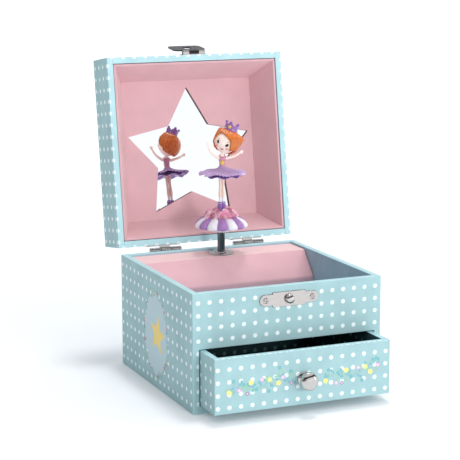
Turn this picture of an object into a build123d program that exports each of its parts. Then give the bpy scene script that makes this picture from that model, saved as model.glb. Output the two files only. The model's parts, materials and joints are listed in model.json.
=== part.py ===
# Musical jewellery box: hinged lid with a star-shaped mirror window, dancing figure on a spindle,
# front tray, pull-out drawer, and a wind-up musical movement behind the pink cover.
# Units mm. X right along the front, +Y to the back, +Z up, origin at the centre of the box's bottom.
# The lid stands open, the drawer is part of the way out and the hasp is folded back.
import math
import os

from build123d import *

os.makedirs("parts", exist_ok=True)

# ---- box ----
W = 150.0
D = 150.0
H = 88.0
WALL = 5.0
BASE_T = 5.5
OPEN_TOP = 47.0
TRAY_Z = 47.5
TRAY_T = 2.0
IN = W / 2 - WALL

# ---- lid, in closed coordinates ----
LID_GAP = 0.5
LID_H = 34.0
LID_TOP_T = 4.0
RIM_Z = H + LID_GAP
LID_Z = RIM_Z + LID_H
LINER_Z0 = RIM_Z + 0.7
LINER_Z1 = RIM_Z + 24.9
LINER_IN0 = 67.9
LINER_IN1 = 56.2
LINER_T = 1.8
STAR_T = 2.0
STAR_R = 55.3
STAR_NOTCH = 30.0
STAR_CY = 5.0
HY = D / 2 + 4.0
HZ = H
OPEN_DEG = 98.4

# ---- hinges and catch ----
HINGE_X = 36.0
HINGE_W = 26.0
LEAF_T = 0.9
KNUCKLE_R = 2.1
PIN_R = 1.0
RUN = 0.05
STRIKE_Z = 78.0
HASP_Y = -D / 2 - 2.4
HASP_Z = 92.5
HASP_REST = 15.0
HASP_HOLE = HASP_Z - STRIKE_Z

# ---- drawer ----
DRAWER_OUT = 26.0
DRAWER_L = 138.0
DRAWER_HW = 69.0
DRAWER_Z0 = 6.0
DRAWER_Z1 = 46.3
DRAWER_T = 4.5
KNOB_Z = 25.0

# ---- movement and spindle ----
AX = 2.0
AY = 55.0
COVER_Z = 86.3
COVER_T = 1.5
BAR_Z = 67.0
PLATE_Y = 68.0
SEAT_Z = 104.0
DOLL_Z = 104.2


def save(builder, name):
    builder.part.label = name
    export_step(builder.part, "parts/" + name + ".step")


def block(x0, x1, y0, y1, z0, z1, mode=Mode.ADD):
    with Locations(((x0 + x1) / 2, (y0 + y1) / 2, (z0 + z1) / 2)):
        Box(x1 - x0, y1 - y0, z1 - z0, mode=mode)


def rod(axis, centre, r, length, mode=Mode.ADD):
    # a cylinder centred on a point, along X, Y or Z
    turn = {"X": (0, 90, 0), "Y": (90, 0, 0), "Z": (0, 0, 0)}[axis]
    with Locations(Location(centre, turn)):
        Cylinder(r, length, mode=mode)


def rod_to(axis, centre, r, a, b, mode=Mode.ADD):
    # a cylinder from a to b along an axis through centre
    i = "XYZ".index(axis)
    mid = list(centre)
    mid[i] = (a + b) / 2
    rod(axis, tuple(mid), r, abs(b - a), mode)


def gear_points(teeth, root, tip, phase, wide=0.21, narrow=0.11):
    # outline of thin trapezoid teeth, one tooth centred on the phase angle
    step = 360.0 / teeth
    points = []
    for k in range(teeth):
        mid = phase + k * step
        for radius, off in ((root, -wide), (tip, -narrow), (tip, narrow), (root, wide)):
            a = math.radians(mid + off * step)
            points.append((radius * math.cos(a), radius * math.sin(a)))
    return points


def gear(plane, thickness, teeth, root, tip, phase):
    with BuildSketch(plane) as outline:
        with BuildLine():
            Polyline(*gear_points(teeth, root, tip, phase), close=True)
        make_face()
    extrude(outline.sketch, amount=thickness)


def turned(profile, plane):
    # revolve a half profile (radius, height) about the plane's own Y axis
    with BuildSketch(plane) as half:
        with BuildLine():
            Polyline(*profile, close=True)
        make_face()
    revolve(half.sketch, axis=Axis(plane.origin, plane.y_dir))


def lid_point(x, y, z):
    # a point of the closed lid, carried to where it stands with the lid open
    a = math.radians(OPEN_DEG)
    dy = y - HY
    dz = z - HZ
    new_y = HY + dy * math.cos(a) + dz * math.sin(a)
    new_z = HZ - dy * math.sin(a) + dz * math.cos(a)
    return (x, new_y, new_z)


def lid_vector(x, y, z):
    a = math.radians(OPEN_DEG)
    return (x, y * math.cos(a) + z * math.sin(a), -y * math.sin(a) + z * math.cos(a))


LID = Plane(origin=(0, HY, HZ), x_dir=(1, 0, 0), z_dir=lid_vector(0, 0, 1))


def lid_block(x0, x1, y0, y1, z0, z1, mode=Mode.ADD):
    block(x0, x1, y0 - HY, y1 - HY, z0 - HZ, z1 - HZ, mode)


def lid_rod(axis, centre, r, a, b, mode=Mode.ADD):
    x, y, z = centre
    shift = {"X": 0.0, "Y": -HY, "Z": -HZ}[axis]
    rod_to(axis, (x, y - HY, z - HZ), r, a + shift, b + shift, mode)


def screw_y(x, y, z, way, r, head_r, length, head):
    # a screw along Y with its head's inner face at y; way is the side the head stands on
    rod_to("Y", (x, y, z), r, y, y - way * length)
    rod_to("Y", (x, y, z), head_r, y, y + way * head)


# ======================= box carcass =======================
STRIKE_SCREWS = [(-18.5, STRIKE_Z), (18.5, STRIKE_Z)]
LEAF_SCREWS = [(s * HINGE_X + d, 75.0) for s in (-1, 1) for d in (-8.0, 8.0)]
PLATE_SCREWS = [(-19.0, 81.0), (-43.5, 53.0), (18.0, 81.0), (34.0, 53.0)]

with BuildPart() as base_panel:
    block(-IN, IN, -D / 2, IN, 0, BASE_T)

with BuildPart() as left_panel:
    block(-W / 2, -IN, -D / 2, D / 2, 0, H)

with BuildPart() as right_panel:
    block(IN, W / 2, -D / 2, D / 2, 0, H)

with BuildPart() as front_panel:
    block(-IN, IN, -D / 2, -IN, OPEN_TOP, H)
    for sx, sz in STRIKE_SCREWS:
        rod_to("Y", (sx, 0, sz), 1.12, -D / 2 - 1, -D / 2 + 3.6, Mode.SUBTRACT)
    rod_to("Y", (0, 0, STRIKE_Z), 1.55, -D / 2 - 1, -D / 2 + 3.6, Mode.SUBTRACT)

with BuildPart() as back_panel:
    block(-IN, IN, IN, D / 2, 0, H)
    rod_to("Y", (AX, 0, BAR_Z), 4.5, IN - 1, D / 2 + 1, Mode.SUBTRACT)
    for sx, sz in PLATE_SCREWS:
        rod_to("Y", (sx, 0, sz), 1.6, IN - 1, D / 2 + 1, Mode.SUBTRACT)
    for sx, sz in LEAF_SCREWS:
        rod_to("Y", (sx, 0, sz), 1.12, D / 2 - 3.6, D / 2 + 1, Mode.SUBTRACT)

with BuildPart() as tray_floor:
    block(-IN, IN, -IN, IN, TRAY_Z, TRAY_Z + TRAY_T)

with BuildPart() as drawer_runners:
    for s in (-1, 1):
        block(s * 62 - 4, s * 62 + 4, -72, 60, BASE_T, BASE_T + 0.45)


# ======================= pink movement cover =======================
def rounded_corner(before, corner, after, r, count=5):
    # points of an arc of radius r that rounds one corner of an outline
    b, c, a = (Vector(*p, 0) for p in (before, corner, after))
    u = (b - c).normalized()
    v = (a - c).normalized()
    half = math.acos(max(-1.0, min(1.0, u.dot(v)))) / 2
    reach = r / math.tan(half)
    middle = c + (u + v).normalized() * (r / math.sin(half))
    start = c + u * reach
    end = c + v * reach
    points = []
    for k in range(count):
        t = k / (count - 1)
        chord = start * (1 - t) + end * t
        points.append(middle + (chord - middle).normalized() * r)
    return [(p.X, p.Y) for p in points]


OUTER = [(IN - 0.1, COVER_Z), (43.6, COVER_Z), (26.2, 67.6), (26.2, TRAY_Z + TRAY_T)]
INNER = [(27.7, TRAY_Z + TRAY_T), (27.7, 67.0), (44.2, COVER_Z - COVER_T), (IN - 0.1, COVER_Z - COVER_T)]
cover_outline = (
    [OUTER[0]]
    + rounded_corner(OUTER[0], OUTER[1], OUTER[2], 3.5)
    + rounded_corner(OUTER[1], OUTER[2], OUTER[3], 3.5)
    + [OUTER[3], INNER[0]]
    + rounded_corner(INNER[0], INNER[1], INNER[2], 2.0)
    + rounded_corner(INNER[1], INNER[2], INNER[3], 2.0)
    + [INNER[3]]
)
with BuildPart() as movement_cover:
    with BuildSketch(Plane.YZ.offset(-IN + 0.4)):
        with BuildLine():
            Polyline(*cover_outline, close=True)
        make_face()
    extrude(amount=2 * IN - 0.8)
    rod_to("Z", (AX, AY, 0), 3.6, COVER_Z - 3, COVER_Z + 3, Mode.SUBTRACT)

spindle_plane = Plane(origin=(AX, AY, 0), x_dir=(1, 0, 0), z_dir=(0, -1, 0))
with BuildPart() as spindle_flange:
    turned(
        [
            (3.0 + 0.08, COVER_Z),
            (10.2, COVER_Z),
            (10.2, COVER_Z + 0.9),
            (9.6, COVER_Z + 1.3),
            (5.4, COVER_Z + 1.3),
            (5.0, COVER_Z + 2.1),
            (3.08, COVER_Z + 2.1),
        ],
        spindle_plane,
    )

# ======================= musical movement =======================
GOV_X = AX + 18.4
FLY_X = GOV_X + 9.5
CYL_Y = 53.0

with BuildPart() as movement_bedplate:
    block(-46, 37, PLATE_Y, IN, 50.2, 84)
    block(-44, -42.5, 50, PLATE_Y, 63, 71)
    block(-15.2, -13.8, 50, PLATE_Y, 63, 71)
    block(-41, -16, 53.5, PLATE_Y, 50.4, 54.6)
    block(AX - 5, AX + 5, 51, PLATE_Y, 82.5, 84)
    rod_to("X", (0, CYL_Y, BAR_Z), 1.2 + RUN, -45, -13, Mode.SUBTRACT)
    rod_to("Z", (AX, AY, 0), 1.6 + RUN, 82, 85, Mode.SUBTRACT)
    rod_to("Y", (AX, 0, BAR_Z), 2.0 + RUN, 67, 71, Mode.SUBTRACT)
    for gx in (GOV_X, FLY_X):
        rod_to("Y", (gx, 0, BAR_Z), 0.8 + RUN, 67, 71, Mode.SUBTRACT)
    for sx, sz in PLATE_SCREWS:
        rod_to("Y", (sx, 0, sz), 1.5, 67, 71, Mode.SUBTRACT)
    for cx in (-38.0, -19.0):
        rod_to("Y", (cx, 0, 52.4), 1.0, 53, 58, Mode.SUBTRACT)

with BuildPart() as movement_comb:
    block(-41, -16, 52.5, 53.5, 50.6, 60.9)
    for k in range(17):
        slot_x = -41 + 25.0 * (k + 1) / 18
        block(slot_x - 0.22, slot_x + 0.22, 52, 54, 54.9, 62, Mode.SUBTRACT)
    for cx in (-38.0, -19.0):
        rod_to("Y", (cx, 0, 52.4), 1.0, 52, 54, Mode.SUBTRACT)

with BuildPart() as movement_screws:
    for sx, sz in PLATE_SCREWS:
        screw_y(sx, D / 2, sz, 1, 1.5, 2.8, D / 2 - PLATE_Y, 1.5)
    for cx in (-38.0, -19.0):
        screw_y(cx, 52.5, 52.4, -1, 1.0, 1.7, 5.0, 0.9)

with BuildPart() as governor_bridge:
    block(20, 28, 47.4, 48.6, 51.5, 82.5)
    block(16.5, 34.5, 47.4, 48.6, 63.5, 70.5)
    for pz in (54.0, 80.0):
        rod_to("Y", (24, 0, pz), 1.6, 48.6, PLATE_Y)
    for gx in (GOV_X, FLY_X):
        rod_to("Y", (gx, 0, BAR_Z), 0.8 + RUN, 47, 49, Mode.SUBTRACT)

with BuildPart() as spring_barrel:
    rod_to("Y", (AX, 0, BAR_Z), 13.2, 61, 67.6)
    gear(
        Plane(origin=(AX, 67.4, BAR_Z), x_dir=(1, 0, 0), z_dir=(0, -1, 0)),
        2.0,
        36,
        13.52,
        14.96,
        0.0,
    )
    rod_to("Y", (AX, 0, BAR_Z), 11.6, 62.2, 68, Mode.SUBTRACT)
    rod_to("Y", (AX, 0, BAR_Z), 1.5 + RUN, 60, 63, Mode.SUBTRACT)
    for k in range(24):
        a = math.radians(15.0 * k)
        where = (AX + 11.7 * math.cos(a), 59.65, BAR_Z + 11.7 * math.sin(a))
        with Locations(Location(where, (0, -15.0 * k, 0))):
            Box(1.8, 2.9, 1.0)


def spiral(r0, r1, turns, thick, count):
    outer, inner = [], []
    for k in range(count + 1):
        t = k / count
        a = 2 * math.pi * turns * t
        r = r0 + (r1 - r0) * t
        outer.append(((r + thick / 2) * math.cos(a), (r + thick / 2) * math.sin(a)))
        inner.append(((r - thick / 2) * math.cos(a), (r - thick / 2) * math.sin(a)))
    return outer + inner[::-1]


with BuildPart() as mainspring:
    with BuildSketch(Plane(origin=(AX, 67.1, BAR_Z), x_dir=(1, 0, 0), z_dir=(0, -1, 0))):
        with BuildLine():
            Polyline(*spiral(3.4, 11.1, 5, 0.4, 120), close=True)
        make_face()
    extrude(amount=4.4)

with BuildPart() as winding_arbor:
    rod_to("Y", (AX, 0, BAR_Z), 2.0, 63, 81)
    rod_to("Y", (AX, 0, BAR_Z), 1.5, 60.4, 63)

with BuildPart() as winding_key:
    rod_to("Y", (AX, 0, BAR_Z), 3.4, 76.0, 85)
    for s in (-1, 1):
        with Locations((AX + s * 6.6, 87.2, BAR_Z)):
            Cylinder(6.0, 1.6)
    block(AX - 5, AX + 5, 82.5, 88, BAR_Z - 0.8, BAR_Z + 0.8)
    rod_to("Y", (AX, 0, BAR_Z), 2.0, 75, 81, Mode.SUBTRACT)
    for s in (-1, 1):
        with Locations((AX + s * 7.4, 87.6, BAR_Z)):
            Cylinder(2.4, 3, mode=Mode.SUBTRACT)

with BuildPart() as music_cylinder:
    rod_to("X", (0, CYL_Y, BAR_Z), 5.5, -42.1, -15.6)
    rod_to("X", (0, CYL_Y, BAR_Z), 1.2, -44.0, -8.0)
    pin_places = []
    for k in range(18):
        tooth_x = -41 + 25.0 * (k + 0.5) / 18
        for m in range(3):
            a = math.radians((k * 67 + m * 120 + 25 * ((k * 5 + m) % 3)) % 360)
            y = CYL_Y + 5.6 * math.cos(a)
            z = BAR_Z + 5.6 * math.sin(a)
            pin_places.append(Location((tooth_x, y, z), (math.degrees(a) + 90, 0, 0)))
    with Locations(*pin_places):
        Cylinder(0.22, 0.7)
    gear(
        Plane(origin=(-11.8, CYL_Y, BAR_Z), x_dir=(0, 1, 0), z_dir=(1, 0, 0)),
        3.6,
        12,
        4.8,
        6.4,
        15.0,
    )

with BuildPart() as governor_wheel:
    rod_to("Y", (GOV_X, 0, BAR_Z), 0.8, 47.6, 69.5)
    gear(
        Plane(origin=(GOV_X, 67.6, BAR_Z), x_dir=(1, 0, 0), z_dir=(0, -1, 0)),
        2.6,
        10,
        3.1,
        4.5,
        18.0,
    )
    gear(
        Plane(origin=(GOV_X, 57.4, BAR_Z), x_dir=(1, 0, 0), z_dir=(0, -1, 0)),
        1.8,
        30,
        6.9,
        7.85,
        0.0,
    )

with BuildPart() as air_brake_fly:
    rod_to("Y", (FLY_X, 0, BAR_Z), 0.8, 47.6, 69.5)
    gear(
        Plane(origin=(FLY_X, 57.6, BAR_Z), x_dir=(1, 0, 0), z_dir=(0, -1, 0)),
        2.2,
        8,
        1.4,
        2.35,
        22.5,
    )
    block(FLY_X - 5.5, FLY_X + 5.5, 50.0, 54.6, BAR_Z - 0.2, BAR_Z + 0.2)

with BuildPart() as spindle:
    rod_to("Z", (AX, AY, 0), 1.6, 75.6, 85.2)
    rod_to("Z", (AX, AY, 0), 3.0, 85.2, SEAT_Z)
    gear(Plane(origin=(AX, AY, 77), x_dir=(1, 0, 0), z_dir=(0, 0, 1)), 4.0, 8, 2.8, 4.4, 22.5)

# ======================= lid =======================
LID_LEAF_SCREWS = [(s * HINGE_X + d, 100.0) for s in (-1, 1) for d in (-8.0, 8.0)]
HASP_SCREWS = [(-6.5, 98.0), (6.5, 98.0)]

with BuildPart(LID) as lid_top_panel:
    lid_block(-W / 2, W / 2, -D / 2, D / 2, LID_Z - LID_TOP_T, LID_Z)

with BuildPart(LID) as lid_left_wall:
    lid_block(-W / 2, -IN, -D / 2, D / 2, RIM_Z, LID_Z - LID_TOP_T)

with BuildPart(LID) as lid_right_wall:
    lid_block(IN, W / 2, -D / 2, D / 2, RIM_Z, LID_Z - LID_TOP_T)

with BuildPart(LID) as lid_front_wall:
    lid_block(-IN, IN, -D / 2, -IN, RIM_Z, LID_Z - LID_TOP_T)
    for sx, sz in HASP_SCREWS:
        lid_rod("Y", (sx, 0, sz), 1.12, -D / 2 - 1, -D / 2 + 3.6, Mode.SUBTRACT)

with BuildPart(LID) as lid_back_wall:
    lid_block(-IN, IN, IN, D / 2, RIM_Z, LID_Z - LID_TOP_T)
    for sx, sz in LID_LEAF_SCREWS:
        lid_rod("Y", (sx, 0, sz), 1.12, D / 2 - 3.6, D / 2 + 1, Mode.SUBTRACT)


def frustum(half0, half1, mode):
    with BuildSketch(LID.offset(LINER_Z0 - HZ)) as rim:
        with Locations((0, -HY)):
            Rectangle(2 * half0, 2 * half0)
    with BuildSketch(LID.offset(LINER_Z1 - HZ)) as deep:
        with Locations((0, -HY)):
            Rectangle(2 * half1, 2 * half1)
    loft([rim.sketch.face(), deep.sketch.face()], mode=mode)


def liner(corner_a, corner_b):
    # one sloping side of the lid's lining, mitred where it meets its neighbours
    with BuildPart() as piece:
        frustum(LINER_IN0 + LINER_T, LINER_IN1 + LINER_T, Mode.ADD)
        frustum(LINER_IN0, LINER_IN1, Mode.SUBTRACT)
        with BuildSketch(LID.offset(LINER_Z0 - HZ - 1)):
            with BuildLine():
                Polyline((0, -HY), corner_a, corner_b, close=True)
            make_face()
        extrude(amount=LINER_Z1 - LINER_Z0 + 2, mode=Mode.INTERSECT)
    return piece


FAR = 90.0
lid_liner_front = liner((-FAR, -FAR - HY), (FAR, -FAR - HY))
lid_liner_back = liner((-FAR, FAR - HY), (FAR, FAR - HY))
lid_liner_left = liner((-FAR, -FAR - HY), (-FAR, FAR - HY))
lid_liner_right = liner((FAR, -FAR - HY), (FAR, FAR - HY))

star_points = []
for k in range(10):
    radius = STAR_R if k % 2 == 0 else STAR_NOTCH
    angle = math.radians(-90 + 36 * k)
    star_points.append((radius * math.cos(angle), STAR_CY - HY + radius * math.sin(angle)))

with BuildPart(LID) as star_panel:
    lid_block(-62, 62, -62, 62, LINER_Z1, LINER_Z1 + STAR_T)
    with BuildSketch(LID.offset(LINER_Z1 - HZ - 1)):
        with BuildLine():
            Polyline(*star_points, close=True)
        make_face()
    extrude(amount=STAR_T + 2, mode=Mode.SUBTRACT)

with BuildPart(LID) as lid_mirror:
    lid_block(-62, 62, -62, 62, LINER_Z1 + STAR_T, LID_Z - LID_TOP_T)

# ======================= hinges =======================
SEGMENTS = [(-13.0, -4.6), (4.6, 13.0)]
with BuildPart() as box_hinge_leaves:
    for s in (-1, 1):
        hx = s * HINGE_X
        block(hx - 13, hx + 13, D / 2, D / 2 + LEAF_T, 70, 86.8)
        for a, b in SEGMENTS:
            block(hx + a, hx + b, D / 2, HY - 1.0, 85.8, 86.8)
            rod_to("X", (0, HY, HZ), KNUCKLE_R, hx + a, hx + b)
    rod_to("X", (0, HY, HZ), PIN_R, -60, 60, Mode.SUBTRACT)
    for sx, sz in LEAF_SCREWS:
        rod_to("Y", (sx, 0, sz), 1.2, D / 2 - 1, D / 2 + 3, Mode.SUBTRACT)

with BuildPart(LID) as lid_hinge_leaves:
    for s in (-1, 1):
        hx = s * HINGE_X
        lid_block(hx - 13, hx + 13, D / 2, D / 2 + LEAF_T, 89.6, 106)
        lid_block(hx - 4.2, hx + 4.2, D / 2, HY - 1.0, 89.2, 90.2)
        lid_rod("X", (0, HY, HZ), KNUCKLE_R, hx - 4.2, hx + 4.2)
    lid_rod("X", (0, HY, HZ), PIN_R + RUN, -60, 60, Mode.SUBTRACT)
    for sx, sz in LID_LEAF_SCREWS:
        lid_rod("Y", (sx, 0, sz), 1.2, D / 2 - 1, D / 2 + 3, Mode.SUBTRACT)

with BuildPart() as hinge_pins:
    for s in (-1, 1):
        rod_to("X", (0, HY, HZ), PIN_R, s * HINGE_X - 13.2, s * HINGE_X + 13.2)

# ======================= catch =======================
with BuildPart() as strike_plate:
    with BuildSketch(Plane(origin=(0, -D / 2, STRIKE_Z), x_dir=(1, 0, 0), z_dir=(0, -1, 0))):
        Rectangle(26, 10.7)
        SlotOverall(46.5, 8.2)
    extrude(amount=0.8)
    for sx, sz in STRIKE_SCREWS:
        rod_to("Y", (sx, 0, sz), 1.2, -D / 2 - 2, -D / 2 + 1, Mode.SUBTRACT)
    rod_to("Y", (0, 0, STRIKE_Z), 1.5, -D / 2 - 2, -D / 2 + 1, Mode.SUBTRACT)

with BuildPart() as catch_stud:
    turned(
        [
            (0, -3.4),
            (1.5, -3.4),
            (1.5, 0.8),
            (2.6, 0.8),
            (2.6, 1.6),
            (3.4, 2.1),
            (3.4, 3.0),
            (2.6, 3.9),
            (1.4, 4.4),
            (0, 4.6),
        ],
        Plane(origin=(0, -D / 2, STRIKE_Z), x_dir=(1, 0, 0), z_dir=(0, 0, 1)).rotated((0, 0, 180)),
    )

with BuildPart() as box_screws:
    for sx, sz in STRIKE_SCREWS:
        screw_y(sx, -D / 2 - 0.8, sz, -1, 1.1, 2.2, 4.2, 0.7)
    for sx, sz in LEAF_SCREWS:
        screw_y(sx, D / 2 + LEAF_T, sz, 1, 1.1, 2.2, 4.2, 0.7)

with BuildPart(LID) as lid_screws:
    for sx, sz in LID_LEAF_SCREWS:
        face = D / 2 + LEAF_T
        lid_rod("Y", (sx, 0, sz), 1.1, face, face - 4.2)
        lid_rod("Y", (sx, 0, sz), 2.2, face, face + 0.7)
    for sx, sz in HASP_SCREWS:
        face = -D / 2 - 0.8
        lid_rod("Y", (sx, 0, sz), 1.1, face, face + 4.2)
        lid_rod("Y", (sx, 0, sz), 1.9, face, face - 0.7)

with BuildPart(LID) as hasp_base:
    lid_block(-10, 10, -D / 2 - 0.8, -D / 2, 90.2, 101)
    for a, b in ((-9.5, -4.2), (4.2, 9.5)):
        lid_block(a, b, HASP_Y, -D / 2 - 0.6, 91.2, 93.8)
        lid_rod("X", (0, HASP_Y, HASP_Z), 1.6, a, b)
    lid_rod("X", (0, HASP_Y, HASP_Z), 0.65, -20, 20, Mode.SUBTRACT)
    for sx, sz in HASP_SCREWS:
        lid_rod("Y", (sx, 0, sz), 1.2, -D / 2 - 2, -D / 2 + 1, Mode.SUBTRACT)

with BuildPart(LID) as hasp_pin:
    lid_rod("X", (0, HASP_Y, HASP_Z), 0.65, -9.8, 9.8)

lean = math.radians(HASP_REST)
hasp_along = Vector(*lid_vector(0, -math.sin(lean), math.cos(lean)))
HASP = Plane(
    origin=lid_point(0, HASP_Y, HASP_Z),
    x_dir=(1, 0, 0),
    z_dir=Vector(1, 0, 0).cross(hasp_along),
)
with BuildPart(HASP) as hasp_plate:
    with BuildSketch(HASP.offset(-0.45)):
        with Locations((0, 15.5)):
            RectangleRounded(28, 18, 4.5)
        with Locations((0, 4.5)):
            Rectangle(7.6, 7)
        with Locations((0, HASP_HOLE)):
            Circle(3.7, mode=Mode.SUBTRACT)
    extrude(amount=0.9)
    rod_to("X", (0, 0, 0), 1.6, -3.9, 3.9)
    rod_to("X", (0, 0, 0), 0.7, -20, 20, Mode.SUBTRACT)

# ======================= drawer =======================
FRONT_Y = -D / 2 - DRAWER_OUT
BACK_Y = FRONT_Y + DRAWER_L

with BuildPart() as drawer_front:
    block(-DRAWER_HW, DRAWER_HW, FRONT_Y, FRONT_Y + DRAWER_T, DRAWER_Z0, DRAWER_Z1)
    rod_to("Y", (0, 0, KNOB_Z), 1.6, FRONT_Y - 1, FRONT_Y + DRAWER_T + 1, Mode.SUBTRACT)

with BuildPart() as drawer_left:
    block(-DRAWER_HW, -DRAWER_HW + DRAWER_T, FRONT_Y + DRAWER_T, BACK_Y, DRAWER_Z0, DRAWER_Z1)

with BuildPart() as drawer_right:
    block(DRAWER_HW - DRAWER_T, DRAWER_HW, FRONT_Y + DRAWER_T, BACK_Y, DRAWER_Z0, DRAWER_Z1)

INNER_HW = DRAWER_HW - DRAWER_T
with BuildPart() as drawer_back:
    block(-INNER_HW, INNER_HW, BACK_Y - DRAWER_T, BACK_Y, DRAWER_Z0, DRAWER_Z1)

with BuildPart() as drawer_bottom:
    block(-INNER_HW, INNER_HW, FRONT_Y + DRAWER_T, BACK_Y - DRAWER_T, DRAWER_Z0, DRAWER_Z0 + 2.5)

with BuildPart() as drawer_knob:
    turned(
        [
            (1.6, 0),
            (5.2, 0),
            (5.2, 1.0),
            (3.6, 1.8),
            (3.3, 4.2),
            (5.6, 5.6),
            (6.9, 7.0),
            (6.9, 9.2),
            (6.0, 10.8),
            (3.4, 11.9),
            (0, 12.3),
            (0, 5.0),
            (1.6, 5.0),
        ],
        Plane(origin=(0, FRONT_Y, KNOB_Z), x_dir=(1, 0, 0), z_dir=(0, 0, 1)).rotated((0, 0, 180)),
    )

with BuildPart() as knob_screw:
    screw_y(0, FRONT_Y + DRAWER_T, KNOB_Z, 1, 1.6, 3.2, DRAWER_T + 4.8, 1.6)

# ======================= dancing figure =======================
DX = AX
LEG_X = DX + 0.6
TUTU_X = DX + 1.6
TORSO_X = DX + 1.1
with BuildPart() as figure_magnet:
    rod_to("Z", (DX, AY, 0), 4.0, DOLL_Z, DOLL_Z + 2.0)

with BuildPart() as figure_base:
    turned(
        [
            (0, DOLL_Z),
            (6.6, DOLL_Z),
            (6.6, DOLL_Z + 2.6),
            (19.6, DOLL_Z + 3.4),
            (20.8, DOLL_Z + 3.9),
            (21.2, DOLL_Z + 4.8),
            (20.8, DOLL_Z + 6.6),
            (18.4, DOLL_Z + 9.4),
            (14.8, DOLL_Z + 11.4),
            (11.0, DOLL_Z + 12.4),
            (7.6, DOLL_Z + 12.6),
            (0, DOLL_Z + 12.6),
        ],
        Plane(origin=(DX, AY, 0), x_dir=(1, 0, 0), z_dir=(0, -1, 0)),
    )
    rod_to("Z", (DX, AY, 0), 4.08, DOLL_Z - 1, DOLL_Z + 2.3, Mode.SUBTRACT)

with BuildPart() as figure_roses:
    turned(
        [
            (0, DOLL_Z + 12.6),
            (7.6, DOLL_Z + 12.6),
            (11.0, DOLL_Z + 12.4),
            (11.2, DOLL_Z + 14.0),
            (7.6, DOLL_Z + 17.0),
            (0, DOLL_Z + 17.4),
        ],
        Plane(origin=(DX, AY, 0), x_dir=(1, 0, 0), z_dir=(0, -1, 0)),
    )

SHOE_Z0 = DOLL_Z + 17.4
SHOE_Z1 = DOLL_Z + 23.6
with BuildPart() as figure_shoes:
    for s in (-1, 1):
        with Locations((LEG_X + s * 1.5, AY, (SHOE_Z0 + SHOE_Z1) / 2)):
            Cylinder(2.0, SHOE_Z1 - SHOE_Z0)

TUTU_Z = 150.4
with BuildPart() as figure_legs:
    for s in (-1, 1):
        rod_to("Z", (LEG_X + s * 1.2, AY, 0), 1.25, SHOE_Z1, TUTU_Z)

with BuildPart() as figure_tutu:
    turned(
        [
            (0, TUTU_Z),
            (5.5, TUTU_Z),
            (18.4, TUTU_Z - 2.4),
            (18.8, TUTU_Z - 1.4),
            (18.0, TUTU_Z + 0.6),
            (6.0, TUTU_Z + 4.0),
            (4.4, TUTU_Z + 5.2),
            (0, TUTU_Z + 5.2),
        ],
        Plane(origin=(TUTU_X, AY, 0), x_dir=(1, 0, 0), z_dir=(0, -1, 0)),
    )

with BuildPart() as figure_torso:
    turned(
        [
            (0, TUTU_Z + 5.2),
            (2.8, TUTU_Z + 5.2),
            (2.4, TUTU_Z + 8.0),
            (3.2, TUTU_Z + 12.0),
            (2.8, TUTU_Z + 14.2),
            (1.3, TUTU_Z + 15.0),
            (1.3, TUTU_Z + 16.6),
            (0, TUTU_Z + 16.6),
        ],
        Plane(origin=(TORSO_X, AY, 0), x_dir=(1, 0, 0), z_dir=(0, -1, 0)),
    )


def limb(a, b, ra, rb):
    line = Vector(*b) - Vector(*a)
    with BuildSketch(Plane(origin=a, z_dir=line)) as start:
        Circle(ra)
    with BuildSketch(Plane(origin=b, z_dir=line)) as end:
        Circle(rb)
    loft([start.sketch.face(), end.sketch.face()])


ARM_LEFT = [(DX - 2.6, AY, 163.2), (DX - 9.0, AY, 168.4), (DX - 13.6, AY, 174.2)]
ARM_RIGHT = [(DX + 4.8, AY, 162.6), (DX + 12.6, AY, 164.4), (DX + 17.2, AY, 167.2)]
with BuildPart() as figure_arms:
    for path in (ARM_LEFT, ARM_RIGHT):
        limb(path[0], path[1], 1.3, 1.15)
        with Locations(path[1]):
            Sphere(1.2)
        limb(path[1], path[2], 1.15, 0.9)
        with Locations(path[2]):
            Sphere(1.3)
    with Locations((TORSO_X, AY, 160)):
        Box(6.8, 12, 30, mode=Mode.SUBTRACT)

# the head leans to one side: its frame has Y up through the crown
LEAN = 22.0
neck = Vector(DX + 0.6, AY, TUTU_Z + 16.6)
head_up = Vector(math.sin(math.radians(LEAN)), 0, math.cos(math.radians(LEAN)))
head_side = Vector(math.cos(math.radians(LEAN)), 0, -math.sin(math.radians(LEAN)))
HEAD_R = 9.2
head_centre = neck + head_up * 8.9
HEAD = Plane(origin=head_centre, x_dir=head_side, z_dir=head_up)

with BuildPart() as figure_head:
    with Locations(head_centre):
        Sphere(HEAD_R)
    with Locations(Location((TORSO_X, AY, TUTU_Z + 14.6))):
        Box(8, 12, 4.0, mode=Mode.SUBTRACT)

with BuildPart(HEAD) as figure_hair:
    Sphere(11.0)
    with Locations((8.2, 1.0, 4.4)):
        Sphere(4.4)
    with Locations((-7.0, 1.5, -1.0)):
        Sphere(4.2)
    Sphere(HEAD_R + 0.05, mode=Mode.SUBTRACT)
    with Locations(Location((0, -11.0, -3.4), (14, 0, 0))):
        Box(13.6, 14, 15, mode=Mode.SUBTRACT)
    with Locations((0, 0, -12.4)):
        Box(40, 40, 12, mode=Mode.SUBTRACT)
    with Locations((0, 0, 15.3)):
        Box(40, 40, 10, mode=Mode.SUBTRACT)

with BuildPart(HEAD) as figure_crown:
    with BuildSketch(HEAD.offset(10.3)):
        Circle(5.0)
    with BuildSketch(HEAD.offset(16.0)):
        Circle(6.2)
    loft()
    with BuildSketch(HEAD.offset(11.4)):
        Circle(4.2)
    with BuildSketch(HEAD.offset(16.1)):
        Circle(5.3)
    loft(mode=Mode.SUBTRACT)
    for k in range(4):
        with Locations(Location((0, 0, 16.4), (0, 0, 45 * k + 22.5))):
            Box(20, 2.0, 4.4, mode=Mode.SUBTRACT)

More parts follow.
